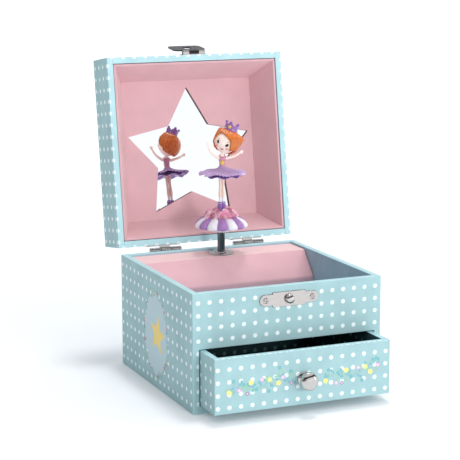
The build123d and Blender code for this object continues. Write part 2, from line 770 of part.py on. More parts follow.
# ======================= named pieces =======================
pieces = {
    "base_panel": base_panel,
    "left_panel": left_panel,
    "right_panel": right_panel,
    "front_panel": front_panel,
    "back_panel": back_panel,
    "tray_floor": tray_floor,
    "drawer_runners": drawer_runners,
    "movement_cover": movement_cover,
    "spindle_flange": spindle_flange,
    "movement_bedplate": movement_bedplate,
    "movement_comb": movement_comb,
    "movement_screws": movement_screws,
    "governor_bridge": governor_bridge,
    "spring_barrel": spring_barrel,
    "mainspring": mainspring,
    "winding_arbor": winding_arbor,
    "winding_key": winding_key,
    "music_cylinder": music_cylinder,
    "governor_wheel": governor_wheel,
    "air_brake_fly": air_brake_fly,
    "spindle": spindle,
    "lid_top_panel": lid_top_panel,
    "lid_left_wall": lid_left_wall,
    "lid_right_wall": lid_right_wall,
    "lid_front_wall": lid_front_wall,
    "lid_back_wall": lid_back_wall,
    "lid_liner_front": lid_liner_front,
    "lid_liner_back": lid_liner_back,
    "lid_liner_left": lid_liner_left,
    "lid_liner_right": lid_liner_right,
    "star_panel": star_panel,
    "lid_mirror": lid_mirror,
    "box_hinge_leaves": box_hinge_leaves,
    "lid_hinge_leaves": lid_hinge_leaves,
    "hinge_pins": hinge_pins,
    "strike_plate": strike_plate,
    "catch_stud": catch_stud,
    "box_screws": box_screws,
    "lid_screws": lid_screws,
    "hasp_base": hasp_base,
    "hasp_pin": hasp_pin,
    "hasp_plate": hasp_plate,
    "drawer_front": drawer_front,
    "drawer_left": drawer_left,
    "drawer_right": drawer_right,
    "drawer_back": drawer_back,
    "drawer_bottom": drawer_bottom,
    "drawer_knob": drawer_knob,
    "knob_screw": knob_screw,
    "figure_magnet": figure_magnet,
    "figure_base": figure_base,
    "figure_roses": figure_roses,
    "figure_shoes": figure_shoes,
    "figure_legs": figure_legs,
    "figure_tutu": figure_tutu,
    "figure_torso": figure_torso,
    "figure_arms": figure_arms,
    "figure_head": figure_head,
    "figure_hair": figure_hair,
    "figure_crown": figure_crown,
}
for name, builder in pieces.items():
    save(builder, name)
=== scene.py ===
import json
import random
from math import copysign, cos, degrees, exp, hypot, pi, radians, remainder, sin, tau

import bmesh
import bpy
from mathutils import Matrix, Vector

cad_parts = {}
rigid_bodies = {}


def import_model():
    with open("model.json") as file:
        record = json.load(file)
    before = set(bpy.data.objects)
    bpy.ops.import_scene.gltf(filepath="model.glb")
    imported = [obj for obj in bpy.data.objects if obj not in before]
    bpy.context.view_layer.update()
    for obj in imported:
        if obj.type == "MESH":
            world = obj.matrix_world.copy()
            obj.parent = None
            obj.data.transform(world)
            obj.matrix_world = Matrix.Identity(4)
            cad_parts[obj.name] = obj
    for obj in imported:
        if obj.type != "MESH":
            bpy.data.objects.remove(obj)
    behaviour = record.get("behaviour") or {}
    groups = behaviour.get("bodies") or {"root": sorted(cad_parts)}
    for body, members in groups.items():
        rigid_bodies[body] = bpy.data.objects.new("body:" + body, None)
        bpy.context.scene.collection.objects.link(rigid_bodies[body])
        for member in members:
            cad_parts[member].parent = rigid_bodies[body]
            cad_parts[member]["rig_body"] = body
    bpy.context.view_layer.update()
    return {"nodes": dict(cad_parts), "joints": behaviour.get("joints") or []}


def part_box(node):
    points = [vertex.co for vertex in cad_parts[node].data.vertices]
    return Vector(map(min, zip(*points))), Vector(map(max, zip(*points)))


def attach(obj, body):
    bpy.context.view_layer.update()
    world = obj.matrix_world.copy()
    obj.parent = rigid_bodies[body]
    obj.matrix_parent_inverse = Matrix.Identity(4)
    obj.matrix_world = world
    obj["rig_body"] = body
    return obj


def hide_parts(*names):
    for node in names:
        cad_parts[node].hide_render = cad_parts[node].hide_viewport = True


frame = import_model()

MM = 0.001
nodes = frame["nodes"]
joints = {j["name"]: j for j in frame["joints"]}


# ---- numbers shared with the CAD, in millimetres
def corner(node, i):
    return [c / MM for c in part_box(node)[i]]


HALF = corner("right_panel", 1)[0]
BOX_TOP = corner("left_panel", 1)[2]
RIM_IN = corner("front_panel", 1)[0]
DRAWER_SLOT_TOP = 47.0
HINGE_Y, HINGE_Z = (c / MM for c in joints["lid_hinge"]["pos_m"][1:])
OPEN_A = radians(joints["lid_hinge"]["range_deg"][1])
RIM_Z = BOX_TOP + 0.5
LID_TOP = RIM_Z + 34.0
DRAWER_HALF, _, DRAWER_TOP = corner("drawer_front", 1)
_, DRAWER_Y, DRAWER_BOTTOM = corner("drawer_front", 0)
DRAWER_BACK = corner("drawer_back", 1)[1]
STUD_Z, KNOB_Z = 78.0, 25.0
PAPER_IN = 0.08  # the side papers sit this far inside, so the printed medallion stays in the box's width
SIDE_X = HALF - PAPER_IN


def about_hinge(p, sign):
    # turns a point about the lid's hinge: 1 from open to closed, -1 from closed to open
    dy, dz = p[1] - HINGE_Y, p[2] - HINGE_Z
    c, s = cos(OPEN_A), sign * sin(OPEN_A)
    return Vector((p[0], HINGE_Y + dy * c - dz * s, HINGE_Z + dy * s + dz * c))


def turns(n):
    return [tau * k / n for k in range(n)]


def rgb(*color):
    shares = [c / 255.0 for c in color]
    return tuple(c / 12.92 if c <= 0.04045 else ((c + 0.055) / 1.055) ** 2.4 for c in shares) + (1.0,)


def shade(color, k):
    return tuple(min(1.0, c * k) for c in color[:3]) + (1.0,)


# ---- node helpers
class Tree:
    # the nodes of a material or world, with sink as the shader they feed
    def __init__(self, owner, sink="Principled BSDF"):
        owner.use_nodes = True
        self.owner = owner
        self.nt = owner.node_tree
        self.sink = self.nt.nodes[sink]

    def add(self, kind, ins=None, **attrs):
        n = self.nt.nodes.new(kind)
        for k, v in attrs.items():
            setattr(n, k, v)
        for k, v in (ins or {}).items():
            if isinstance(v, bpy.types.NodeSocket):
                self.nt.links.new(v, n.inputs[k])
            else:
                n.inputs[k].default_value = v
        return n

    def calc(self, op, a, b=0.0):
        return self.add("ShaderNodeMath", {0: a, 1: b}, operation=op).outputs[0]

    def times(self, a, b):
        return self.calc("MULTIPLY", a, b)

    def vec(self, op, a, b=(0, 0, 0)):
        n = self.add("ShaderNodeVectorMath", {0: a, 1: b}, operation=op)
        return n.outputs["Value"] if op in ("LENGTH", "DOT_PRODUCT") else n.outputs[0]

    def mix(self, f, a, b):
        return self.add("ShaderNodeMix", {0: f, 6: a, 7: b}, data_type="RGBA").outputs[2]

    def ramp(self, v, lo, hi, a=0.0, b=1.0):
        ins = {0: v, 1: lo, 2: hi, 3: a, 4: b}
        return self.add("ShaderNodeMapRange", ins, interpolation_type="SMOOTHSTEP").outputs[0]

    def height_of(self, v):
        return self.add("ShaderNodeSeparateXYZ", {0: v}).outputs[2]

    def noise(self, where, scale, detail=3.0, rough=0.55):
        ins = {"Vector": where, "Scale": scale, "Detail": detail, "Roughness": rough}
        return self.add("ShaderNodeTexNoise", ins).outputs["Fac"]

    def mm(self, lid=False):
        # place in millimetres; on the lid, in the frame it has when closed
        p = self.vec("MULTIPLY", self.add("ShaderNodeTexCoord").outputs["Object"], (1000, 1000, 1000))
        if lid:
            h = Vector((0, HINGE_Y, HINGE_Z))
            ins = {"Vector": p, "Rotation": (OPEN_A, 0, 0), "Location": h - Matrix.Rotation(OPEN_A, 3, "X") @ h}
            p = self.add("ShaderNodeMapping", ins, vector_type="POINT").outputs[0]
        return p

    def bump(self, height, strength, distance):
        n = self.add("ShaderNodeBump", {"Height": height, "Strength": strength, "Distance": distance})
        self.link(n.outputs[0], "Normal")

    def link(self, out, socket):
        self.nt.links.new(out, self.sink.inputs[socket])

    def put(self, values):
        for socket, v in values.items():
            self.sink.inputs[socket].default_value = v
        return self.owner


def paint(name):
    return Tree(bpy.data.materials.new(name))


# ---- papers
# the rim paper is the aqua made paler for rims and rounded edges: painted highlight where the edges catch the light
AQUA, LIT_AQUA_RIM, DOT, PLAIN = rgb(166, 203, 207), rgb(186, 224, 230), rgb(234, 246, 248), rgb(164, 196, 208)
# the drawer's inside is the same dotted paper in painted shade: dark teal with dimmed dots
SHADED_TEAL, SHADED_DOT = rgb(58, 92, 98), rgb(122, 160, 164)
PINK, PINK_COVER = rgb(218, 172, 178), rgb(226, 176, 184)
DOT_R = 1.6
BIG = 1000.0  # a pitch no dot repeats at

# rows of dots as (first dot, pitch, axes they lie along)
FRONT_DOTS = [((-70.5, 0, 80.8), (8.79, BIG, 9.2), (1, 0, 1))]
SIDE_DOTS = [((0, -71.8, 81.0), (BIG, 8.95, 9.3), (0, 1, 1))]
FLAT_DOTS = [((-70.5, -71.8, 0), (8.79, 8.95, BIG), (1, 1, 0))]
LID_SIDE_DOTS = [((0, 33.4, 118.9), (BIG, 9.25, 9.45), (0, 1, 1))]
LID_FRONT_DOTS = [((-70.5, 0, 88.8), (9.2, BIG, 9.3), (1, 0, 1))]
RIM_DOTS = [
    ((-70.5, -HALF, 0), (9.2, 2 * HALF, BIG), (1, 1, 0)),
    ((-HALF, 33.4, 0), (2 * HALF, 9.25, BIG), (1, 1, 0)),
]
DRAWER_DOTS = [((-66.6, 0, 38.2), (8.8, BIG, 9.25), (1, 0, 1))]
DRAWER_SIDE_DOTS = [((0, -84.8, 38.2), (BIG, 9.2, 9.25), (0, 1, 1))]
DRAWER_RIM_DOTS = [((-62.2, DRAWER_Y, 0), (8.8, 9.2, BIG), (1, 1, 0))]


def paper(name, base, dots=(), dot_color=DOT, lid=False):
    # printed paper glued over board
    t = paint(name)
    p = t.mm(lid)
    soft = t.noise(p, 0.06, 4.0)
    fibre = t.noise(p, 2.6, 5.0, 0.65)
    color = t.mix(t.ramp(soft, 0.30, 0.72), shade(base, 0.90), base)
    color = t.mix(t.times(t.ramp(fibre, 0.5, 0.78), 0.10), color, (1, 1, 1, 1))
    height = fibre
    rough = t.ramp(fibre, 0.2, 0.8, 0.50, 0.66)
    half = (0.5, 0.5, 0.5)
    for origin, pitch, axes in dots:
        cell = t.vec("DIVIDE", t.vec("SUBTRACT", p, origin), pitch)
        cell = t.vec("SUBTRACT", t.vec("FRACTION", t.vec("ADD", cell, half)), half)
        away = t.vec("LENGTH", t.vec("MULTIPLY", cell, tuple(a * b for a, b in zip(pitch, axes))))
        wobble = t.times(t.calc("SUBTRACT", t.noise(p, 1.1, 2.0), 0.5), 0.25)
        mask = t.ramp(t.calc("ADD", away, wobble), DOT_R - 0.14, DOT_R + 0.14, 1.0, 0.0)
        color = t.mix(mask, color, dot_color)
        height = t.calc("ADD", height, t.times(mask, 0.5))
        rough = t.calc("SUBTRACT", rough, t.times(mask, 0.10))
    t.link(color, "Base Color")
    t.link(rough, "Roughness")
    t.bump(height, 0.16, 0.00012)
    return t.put({"Specular IOR Level": 0.35})


# materials by key; each row ends with paper's base, dots, dot_color and lid
M = {}
for key, name, *look in (
    ("front", "dots_front", AQUA, FRONT_DOTS), ("side", "dots_side", AQUA, SIDE_DOTS), ("under", "plain_base", AQUA),
    ("rim", "rim", LIT_AQUA_RIM), ("inner", "inner", PLAIN),
    ("lid_side", "dots_lid_side", AQUA, LID_SIDE_DOTS, DOT, True),
    ("lid_front", "dots_lid_front", AQUA, LID_FRONT_DOTS, DOT, True),
    ("lid_top", "dots_lid_top", AQUA, FLAT_DOTS, DOT, True), ("lid_rim", "rim_lid", LIT_AQUA_RIM, RIM_DOTS, DOT, True),
    ("lid_inner", "inner_lid", PLAIN, (), DOT, True), ("drawer", "dots_drawer", AQUA, DRAWER_DOTS),
    ("drawer_side", "dots_drawer_side", AQUA, DRAWER_SIDE_DOTS),
    ("drawer_rim", "drawer_rim", LIT_AQUA_RIM, DRAWER_RIM_DOTS),
    ("drawer_in_x", "drawer_in_x", SHADED_TEAL, DRAWER_SIDE_DOTS, SHADED_DOT),
    ("drawer_in_y", "drawer_in_y", SHADED_TEAL, DRAWER_DOTS, SHADED_DOT),
    ("drawer_in_z", "drawer_in_z", SHADED_TEAL, DRAWER_RIM_DOTS, SHADED_DOT),
):
    M[key] = paper("paper_" + name, *look)


# ---- felt, metal, resin and ink
def felt(name, base, lid=False, edge=None):
    # short-pile flocked paper; edge is the colour of its cut edges, used where a face is square to the lid: the grey
    # card core, darkened with painted shade
    t = paint(name)
    p = t.mm(lid)
    cloud = t.noise(p, 0.045, 3.0)
    nap = t.noise(p, 3.2, 6.0, 0.7)
    color = t.mix(t.ramp(cloud, 0.3, 0.7), shade(base, 0.93), base)
    color = t.mix(t.times(t.ramp(nap, 0.35, 0.75), 0.14), color, (1.0, 0.86, 0.86, 1))
    if edge:
        ins = {"Vector": t.add("ShaderNodeTexCoord").outputs["Normal"], "Rotation": (OPEN_A, 0, 0)}
        along = t.add("ShaderNodeMapping", ins, vector_type="VECTOR").outputs[0]
        color = t.mix(t.ramp(t.calc("ABSOLUTE", t.height_of(along)), 0.25, 0.45, 1.0, 0.0), color, edge)
    t.link(color, "Base Color")
    t.link(t.ramp(nap, 0.2, 0.8, 0.78, 0.95), "Roughness")
    t.bump(nap, 0.35, 0.00016)
    soft = {"Sheen Weight": 0.35, "Sheen Roughness": 0.5, "Sheen Tint": (1.0, 0.88, 0.88, 1)}
    return t.put({**soft, "Specular IOR Level": 0.2})


M["felt"] = felt("flocked_pink", PINK_COVER)
# a paler pink for the cover's flat top: painted highlight
M["felt_top"] = felt("flocked_pink_top", rgb(240, 202, 202))
# a dark pink-grey for the cover's right-hand edge: painted shade of the gap against the right wall
M["felt_edge"] = felt("flocked_gap_shade", rgb(96, 74, 86))
M["felt_lid"] = felt("flocked_pink_lid", PINK, lid=True)
# the star's cut edges: grey card core with painted shade
M["felt_star"] = felt("flocked_pink_star", PINK, lid=True, edge=rgb(88, 78, 84))


def metal(name, color, rough, brushed=None):
    t = paint(name)
    p = t.mm()
    base = (*color, 1)
    fine = t.noise(t.vec("MULTIPLY", p, brushed), 3.0, 4.0, 0.6) if brushed else t.noise(p, 5.0, 4.0, 0.6)
    haze = t.noise(p, 0.35, 4.0, 0.6)
    t.link(t.mix(t.times(t.ramp(haze, 0.45, 0.8), 0.25), base, shade(base, 0.72)), "Base Color")
    t.link(t.ramp(haze, 0.25, 0.8, rough * 0.75, rough * 1.7), "Roughness")
    t.bump(fine, 0.16 if brushed else 0.05, 0.00005)
    return t.put({"Metallic": 1.0})


M["nickel"] = metal("nickel_plate", (0.60, 0.565, 0.545), 0.20)
M["chrome"] = metal("polished_nickel", (0.60, 0.575, 0.555), 0.06)
# nickel darkened almost to black: painted contact shadow for the fittings' edges, and painted shade on the hasp plate
M["dark"] = metal("nickel_shaded", (0.045, 0.042, 0.046), 0.26)
# a nickel far darker than real plating: painted dark reflection on the spindle
M["spindle"] = metal("spindle_nickel", (0.17, 0.165, 0.165), 0.10)
M["steel"] = metal("brushed_steel", (0.60, 0.60, 0.60), 0.3, brushed=(8, 0.6, 0.6))
M["brass"] = metal("satin_brass", (0.78, 0.58, 0.26), 0.28, brushed=(0.6, 8, 8))
M["blackened"] = metal("dark_nickel", (0.34, 0.32, 0.31), 0.22)

t = paint("mirror_film")
p = t.mm(True)
t.link(t.ramp(t.noise(p, 0.5, 4.0), 0.3, 0.9, 0.004, 0.016), "Roughness")
t.bump(t.noise(p, 0.02, 2.0), 0.02, 0.0003)
M["mirror"] = t.put({"Base Color": (0.93, 0.94, 0.95, 1), "Metallic": 1.0})


def resin(name, base, dark, rough=0.30, coat=0.35, streak=1):
    # painted resin with brush marks, darker in patches by the factor dark
    t = paint(name)
    p = t.mm()
    patch = t.noise(p, 0.35, 4.0)
    brush = t.noise(t.vec("MULTIPLY", p, (streak,) * 3), 1.6, 4.0)
    color = t.mix(t.ramp(patch, 0.35, 0.75), base, shade(base, dark))
    color = t.mix(t.times(t.ramp(brush, 0.45, 0.8), 0.18), color, (1, 1, 1, 1))
    t.link(color, "Base Color")
    t.link(t.ramp(patch, 0.2, 0.8, rough * 0.8, rough * 1.4), "Roughness")
    t.bump(brush, 0.10, 0.00012)
    return t.put({"Coat Weight": coat, "Coat Roughness": 0.2})


# each row ends with resin's dark, rough, coat and streak
for key, color, *finish in (
    ("white", (248, 242, 248), 0.93), ("petal_purple", (172, 122, 192), 0.80), ("petal_lilac", (205, 180, 220), 0.88),
    ("rose", (250, 168, 198), 0.86), ("rose_light", (253, 208, 222), 0.93), ("purple", (140, 92, 178), 0.80),
    ("tutu_top", (186, 158, 208), 0.84, 0.30, 0.35, 0.5), ("tutu_under", (176, 138, 206), 0.85),
    ("bodice", (206, 138, 164), 0.8), ("skin", (255, 232, 220), 0.97, 0.42, 0.15), ("gold", (246, 208, 72), 0.85, 0.25),
    ("black", (8, 6, 8), 0.8, 0.6, 0.0), ("lips", (168, 58, 62), 0.85), ("blush", (242, 160, 156), 0.95, 0.45, 0.1),
    ("brow", (150, 84, 40), 0.85),
):
    M[key] = resin("resin_" + key, rgb(*color), *finish)
# the skin glows faintly: painted light that brightens the shaded face and arms
Tree(M["skin"]).put({"Emission Color": rgb(255, 214, 196), "Emission Strength": 0.06})

t = paint("resin_hair")
p = t.mm()
strand = t.noise(t.vec("MULTIPLY", p, (1.2, 1.2, 0.28)), 1.3, 4.0)
patch = t.noise(p, 0.16, 3.0)
color = t.mix(t.ramp(strand, 0.3, 0.72), rgb(188, 84, 14), rgb(232, 132, 38))
t.link(t.mix(t.times(t.ramp(patch, 0.4, 0.75), 0.35), color, rgb(176, 74, 10)), "Base Color")
t.link(t.ramp(strand, 0.2, 0.8, 0.26, 0.42), "Roughness")
t.bump(strand, 0.35, 0.0003)
M["hair"] = t.put({"Coat Weight": 0.4, "Coat Roughness": 0.2})

# white stockings below the knee that fade into skin
t = paint("resin_legs")
p = t.mm()
wobble = t.times(t.calc("SUBTRACT", t.noise(p, 0.6, 2.0), 0.5), 1.6)
level = t.calc("ADD", t.height_of(p), wobble)
t.link(t.mix(t.ramp(level, 130.4, 132.2), rgb(246, 240, 246), rgb(250, 220, 204)), "Base Color")
t.bump(t.noise(p, 1.6, 4.0), 0.1, 0.0001)
t.link(t.ramp(t.noise(p, 0.5), 0.2, 0.8, 0.30, 0.46), "Roughness")
M["legs"] = t.put({"Coat Weight": 0.2, "Coat Roughness": 0.25})

for key, color in {
    "yellow": (236, 226, 140), "lime": (216, 228, 120), "teal": (118, 180, 184), "pink": (224, 176, 214),
    "mauve": (172, 138, 172), "white": (238, 248, 252), "cloud": (184, 208, 216), "gold": (240, 214, 122),
    "green": (150, 196, 160), "twig": (132, 170, 196), "red": (186, 112, 128), "slate": (96, 130, 142),
}.items():
    t = paint("ink_" + key)
    fine = t.noise(t.mm(), 2.2, 4.0)
    t.link(t.mix(t.ramp(fine, 0.3, 0.8), rgb(*color), shade(rgb(*color), 1.15)), "Base Color")
    t.link(t.ramp(fine, 0.2, 0.8, 0.45, 0.6), "Roughness")
    t.bump(fine, 0.08, 0.0001)
    M["ink_" + key] = t.owner


# ---- mesh helpers
def new_object(name, data):
    o = bpy.data.objects.new(name, data)
    bpy.context.scene.collection.objects.link(o)
    return o


def finish_mesh(name, bm, body, mats, replaces=(), sharp=35.0, weighted=False, smooth=True):
    bmesh.ops.recalc_face_normals(bm, faces=bm.faces)
    me = bpy.data.meshes.new(name)
    bm.to_mesh(me)
    bm.free()
    for key in mats.split():
        me.materials.append(M[key])
    if smooth:
        me.shade_smooth()
        me.set_sharp_from_angle(angle=radians(sharp))
    o = new_object(name, me)
    if weighted:
        w = o.modifiers.new("flat_faces", "WEIGHTED_NORMAL")
        w.keep_sharp = True
        w.weight = 80
    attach(o, body)
    if replaces:
        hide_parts(*replaces)


def same(a, b):
    return abs(a - b) < 0.02


def refine(node, slot, mats, pick=None, pick_edge=None, bevel=0.3, segments=3, angle=35, sharp=35, lid=False,
           move=None):
    # a copy of a CAD node's mesh with its triangles merged, the chosen edges rounded and each face given its material
    src = nodes[node]
    bm = bmesh.new()
    bm.from_mesh(src.data)
    bmesh.ops.remove_doubles(bm, verts=bm.verts, dist=2e-6)
    bmesh.ops.dissolve_limit(bm, angle_limit=radians(0.6), verts=bm.verts, edges=bm.edges)
    for v in bm.verts:
        v.co = about_hinge(v.co / MM, 1) if lid else v.co / MM
        if move:
            v.co = move(v.co)
    bm.normal_update()
    chosen = []
    for e in bm.edges:
        if len(e.link_faces) != 2:
            continue
        if pick_edge:
            if pick_edge(e.verts[0].co, e.verts[1].co) and e.calc_face_angle(0) > 0.3:
                chosen.append(e)
        elif e.calc_face_angle(0) > radians(angle):
            chosen.append(e)
    if chosen:
        shape = {"offset": bevel, "segments": segments, "profile": 0.5}
        bmesh.ops.bevel(bm, geom=chosen, affect="EDGES", clamp_overlap=True, **shape)
    bm.normal_update()
    if pick:
        for f in bm.faces:
            f.material_index = pick(f.normal, f.calc_center_median())
    for v in bm.verts:
        v.co = (about_hinge(v.co, -1) if lid else v.co) * MM
    finish_mesh("look_" + node, bm, src["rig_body"], mats, (node,), sharp, weighted=True)


def keep(node, key):
    mats = nodes[node].data.materials
    mats.clear()
    mats.append(M[key])


def place(centre, axis, a, b, h):
    x, y, z = centre
    spots = {"Z": (x + a, y + b, z + h), "-Y": (x + a, y - h, z + b), "Y": (x - a, y + h, z + b)}
    return Vector(spots[axis]) * MM


def spline(points, steps):
    # Catmull-Rom through points of any length; a doubled point stays sharp
    out = []
    last = len(points) - 1
    for i in range(last):
        p1, p2 = points[i], points[i + 1]
        if p1 == p2:
            continue
        near = (points[max(i - 1, 0)], p1, p2, points[min(i + 2, last)])
        for s in range(steps):
            t = s / steps
            out.append(tuple(
                0.5 * (2 * b + (c - a) * t + (2 * a - 5 * b + 4 * c - d) * t * t + (3 * b - a - 3 * c + d) * t ** 3)
                for a, b, c, d in zip(*near)
            ))
    return out + [points[-1]]


def lathe(bm, profile, centre, axis="Z", segments=64, mat=0, dip=None):
    # revolve (radius, height) points about an axis through centre; dip(a, b) lowers the surface
    rings = []
    for r, h in profile:
        angles = turns(segments if r >= 1e-4 else 1)
        spokes = [(max(r, 0.0) * cos(a), max(r, 0.0) * sin(a)) for a in angles]
        rings.append([bm.verts.new(place(centre, axis, a, b, h - (dip(a, b) if dip else 0.0))) for a, b in spokes])
    for low, high in zip(rings, rings[1:]):
        for k in range(segments if len(low) + len(high) > 2 else 0):
            n = (k + 1) % segments
            face = (low if len(low) == 1 else [low[k], low[n]]) + (high if len(high) == 1 else [high[n], high[k]])
            bm.faces.new(face).material_index = mat
    return rings


def cap(bm, row, mat=0):
    bm.faces.new(row).material_index = mat


def verts(bm, points):
    return [bm.verts.new(p * MM) for p in points]


def surface(bm, rows, mat=0, closed=True):
    # rows of vertices joined into quads; mat is an index, or gives one for a row and a column
    n = len(rows[0])
    for i, (a, b) in enumerate(zip(rows, rows[1:])):
        for j in range(n if closed else n - 1):
            k = (j + 1) % n
            cap(bm, (a[j], a[k], b[k], b[j]), mat(i, j) if callable(mat) else mat)


def solid(bm, rows, mat=0):
    surface(bm, rows, mat)
    cap(bm, rows[0], mat)
    cap(bm, rows[-1], mat)


# ---- papered boards
def hull_edge(zs, extra):
    # the edges where two outer faces meet, and those that extra picks
    limits = ((-HALF, HALF), (-HALF, HALF), zs)

    def pick(a, b):
        hits = sum(same(a[i], b[i]) and any(abs(a[i] - v) < 0.12 for v in values) for i, values in enumerate(limits))
        return hits >= 2 or extra(a, b)

    return pick


def rim_edge(a, b, z):
    # the inner edges of the walls' rim at height z
    if not (same(a[2], z) and same(b[2], z)):
        return False
    inner_x = same(a[0], b[0]) and same(abs(a[0]), RIM_IN) and abs(a[1] - b[1]) > 100
    return inner_x or (same(a[1], b[1]) and same(abs(a[1]), RIM_IN))


def slot_edge(a, b):
    # the edge over the drawer, on the front
    level = same(a[2], DRAWER_SLOT_TOP) and same(b[2], DRAWER_SLOT_TOP)
    return level and same(a[1], b[1]) and same(a[1], -HALF)


def upright_face(n, c):
    if abs(n.x) > abs(n.y):
        return 0 if abs(c.x) > HALF - 1 else 3
    return 1 if abs(c.y) > HALF - 1 else 3


def box_face(n, c):
    if 0.3 < abs(n.z) < 0.97 or (n.z > 0.9 and c.z > BOX_TOP - 1) or (n.z < -0.9 and c.z > 40):
        return 2
    if abs(n.z) > 0.9:
        return 4 if c.z < 1 else 3
    return upright_face(n, c)


def lid_face(n, c):
    low = c.z < RIM_Z + 1
    if 0.3 < abs(n.z) < 0.97:
        return 2 if low else 4
    if n.z < -0.9 and low:
        return 2
    if abs(n.z) > 0.9:
        return 4 if c.z > LID_TOP - 1 else 3
    return upright_face(n, c)


def tuck(co):
    if same(abs(co.x), HALF):
        co.x = copysign(SIDE_X, co.x)
    return co


BOX_EDGES = hull_edge((0, BOX_TOP), lambda a, b: rim_edge(a, b, BOX_TOP) or slot_edge(a, b))
for name in "left_panel right_panel front_panel back_panel base_panel".split():
    move = tuck if name in ("left_panel", "right_panel") else None
    refine(name, "aqua_board", "side front rim inner under", box_face, BOX_EDGES, bevel=0.45, move=move)

LID_EDGES = hull_edge((RIM_Z, LID_TOP), lambda a, b: rim_edge(a, b, RIM_Z))
LID_MATS = "lid_side lid_front lid_rim lid_inner lid_top"
for name in "lid_top_panel lid_left_wall lid_right_wall lid_front_wall lid_back_wall".split():
    refine(name, "aqua_board", LID_MATS, lid_face, LID_EDGES, bevel=0.45, lid=True)


def drawer_face(n, c):
    inside = abs(c.x) < DRAWER_HALF - 1 and DRAWER_Y + 1 < c.y < DRAWER_BACK - 1
    if n.z > 0.3 and c.z > DRAWER_TOP - 1:
        return 2
    if abs(n.z) > 0.5:
        return 5 if n.z > 0 else 6
    if abs(n.x) > abs(n.y):
        return 3 if inside else 0
    return 4 if inside else 1


def drawer_edge(a, b):
    front, top, low = (
        same(a[i], v) and same(b[i], v) for i, v in ((1, DRAWER_Y), (2, DRAWER_TOP), (2, DRAWER_BOTTOM))
    )
    end = same(abs(a[0]), DRAWER_HALF) and same(a[0], b[0])
    long_x, long_y = (abs(a[i] - b[i]) > 20 for i in (0, 1))
    return front or (top and (long_x or long_y)) or (end and low and long_y)


DRAWER_MATS = "drawer_side drawer drawer_rim drawer_in_x drawer_in_y drawer_in_z under"
for name in "drawer_front drawer_left drawer_right drawer_back drawer_bottom".split():
    refine(name, "aqua_board", DRAWER_MATS, drawer_face, drawer_edge, bevel=0.4)
refine("tray_floor", "plain_board", "inner", bevel=0.1, segments=1)
refine("drawer_runners", "plain_board", "felt", bevel=0.12, segments=1)


# ---- pink linings and mirror
def cover_face(n, c):
    # the cover's right-hand edge gets a dark felt, painted shade of the gap at the right wall, and its flat top a paler
    # felt, a painted highlight of the light from above
    if n.x > 0.35 and abs(c.x) > 20:
        return 1
    return 2 if n.z > 0.93 else 0


refine("movement_cover", "pink_board", "felt felt_edge felt_top", cover_face, bevel=0.35, sharp=30)
for name in "lid_liner_front lid_liner_back lid_liner_left lid_liner_right".split():
    refine(name, "pink_board", "felt_lid", bevel=0.35, lid=True)
refine("star_panel", "pink_board", "felt_star", bevel=0.18, segments=2, lid=True)
keep("lid_mirror", "mirror")


# ---- metal fittings
def plate_face(n, c):
    # the flats are bright; the sheared edges get the shaded nickel, a painted contact shadow that outlines the plate
    return 0 if max(abs(n.y), abs(n.z)) > 0.8 else 1


thin = {"bevel": 0.22, "segments": 2, "angle": 50, "sharp": 40}
for name in "box_hinge_leaves lid_hinge_leaves hasp_base".split():
    refine(name, "nickel", "nickel dark", plate_face, lid=name != "box_hinge_leaves", **thin)
# the hasp plate is all the shaded nickel: painted shade
refine("hasp_plate", "nickel", "dark", lid=True, **thin)
# the strike plate's rounded edges get the shaded nickel: painted contact shadow
refine("strike_plate", "nickel", "nickel dark", lambda n, c: int(abs(n.y) <= 0.95), bevel=0.38, angle=50, sharp=40)
for name in "hinge_pins hasp_pin".split():
    refine(name, "steel", "steel", bevel=0.2, angle=50)
refine("spindle_flange", "nickel", "nickel", bevel=0.15, segments=2, angle=30, sharp=40)
for name in "movement_bedplate governor_bridge".split():
    refine(name, "brass", "brass", bevel=0.2, segments=2, angle=50)
for name in "movement_comb winding_arbor air_brake_fly".split():
    keep(name, "steel")
for name in "spring_barrel music_cylinder governor_wheel".split():
    keep(name, "brass")
for name in "mainspring figure_magnet".split():
    keep(name, "blackened")
refine("winding_key", "nickel", "nickel", angle=50, sharp=40)
refine("spindle", "nickel", "spindle", bevel=0.15, segments=2, angle=50, sharp=40)

for node, body, y, z, segments, steps, profile in (
    ("catch_stud", "box", -HALF, STUD_Z, 72, 5, [
        (0, -3.4), (0, -3.4), (1.45, -3.4), (1.45, -3.4), (1.5, 0.6), (1.5, 0.6), (2.9, 0.8), (2.9, 0.8),
        (2.55, 1.5), (3.35, 2.2), (3.4, 2.9), (2.7, 3.8), (1.4, 4.4), (0, 4.6),
    ]),
    ("drawer_knob", "drawer", DRAWER_Y, KNOB_Z, 96, 6, [
        (0, 0.05), (0, 0.05), (5.2, 0.05), (5.2, 0.05), (5.2, 0.7), (4.7, 1.15), (3.7, 1.8), (3.25, 3.0),
        (3.6, 4.6), (5.5, 5.7), (6.7, 7.0), (6.88, 8.3), (6.4, 10.0), (4.9, 11.4), (2.6, 12.15), (0, 12.3),
    ]),
):
    bm = bmesh.new()
    lathe(bm, spline(profile, steps), (0, y, z), "-Y", segments)
    bmesh.ops.remove_doubles(bm, verts=bm.verts, dist=1e-7)
    finish_mesh("look_" + node, bm, body, "chrome", (node,))


def screws(node, body, places, lid=False):
    # domed heads with a cross recess
    bm = bmesh.new()
    for centre, axis, r, h in places:
        def recess(a, b):
            near, reach = sorted((abs(a), abs(b)))
            if near < 0.275 and reach < r * 0.62:
                return h * 0.55
            return h * 0.2 if near < 0.4675 and reach < r * 0.66 else 0.0

        dome = [(0.98, 0.0), (1, 0.25), (0.93, 0.55), (0.72, 0.82), (0.42, 0.97), (0.0, 1)]
        cap(bm, lathe(bm, spline([(r * a, h * b) for a, b in dome], 3), centre, axis, 40, dip=recess)[0])
    if lid:
        for v in bm.verts:
            v.co = about_hinge(v.co / MM, -1) * MM
    finish_mesh("look_" + node, bm, body, "nickel", (node,), 30)


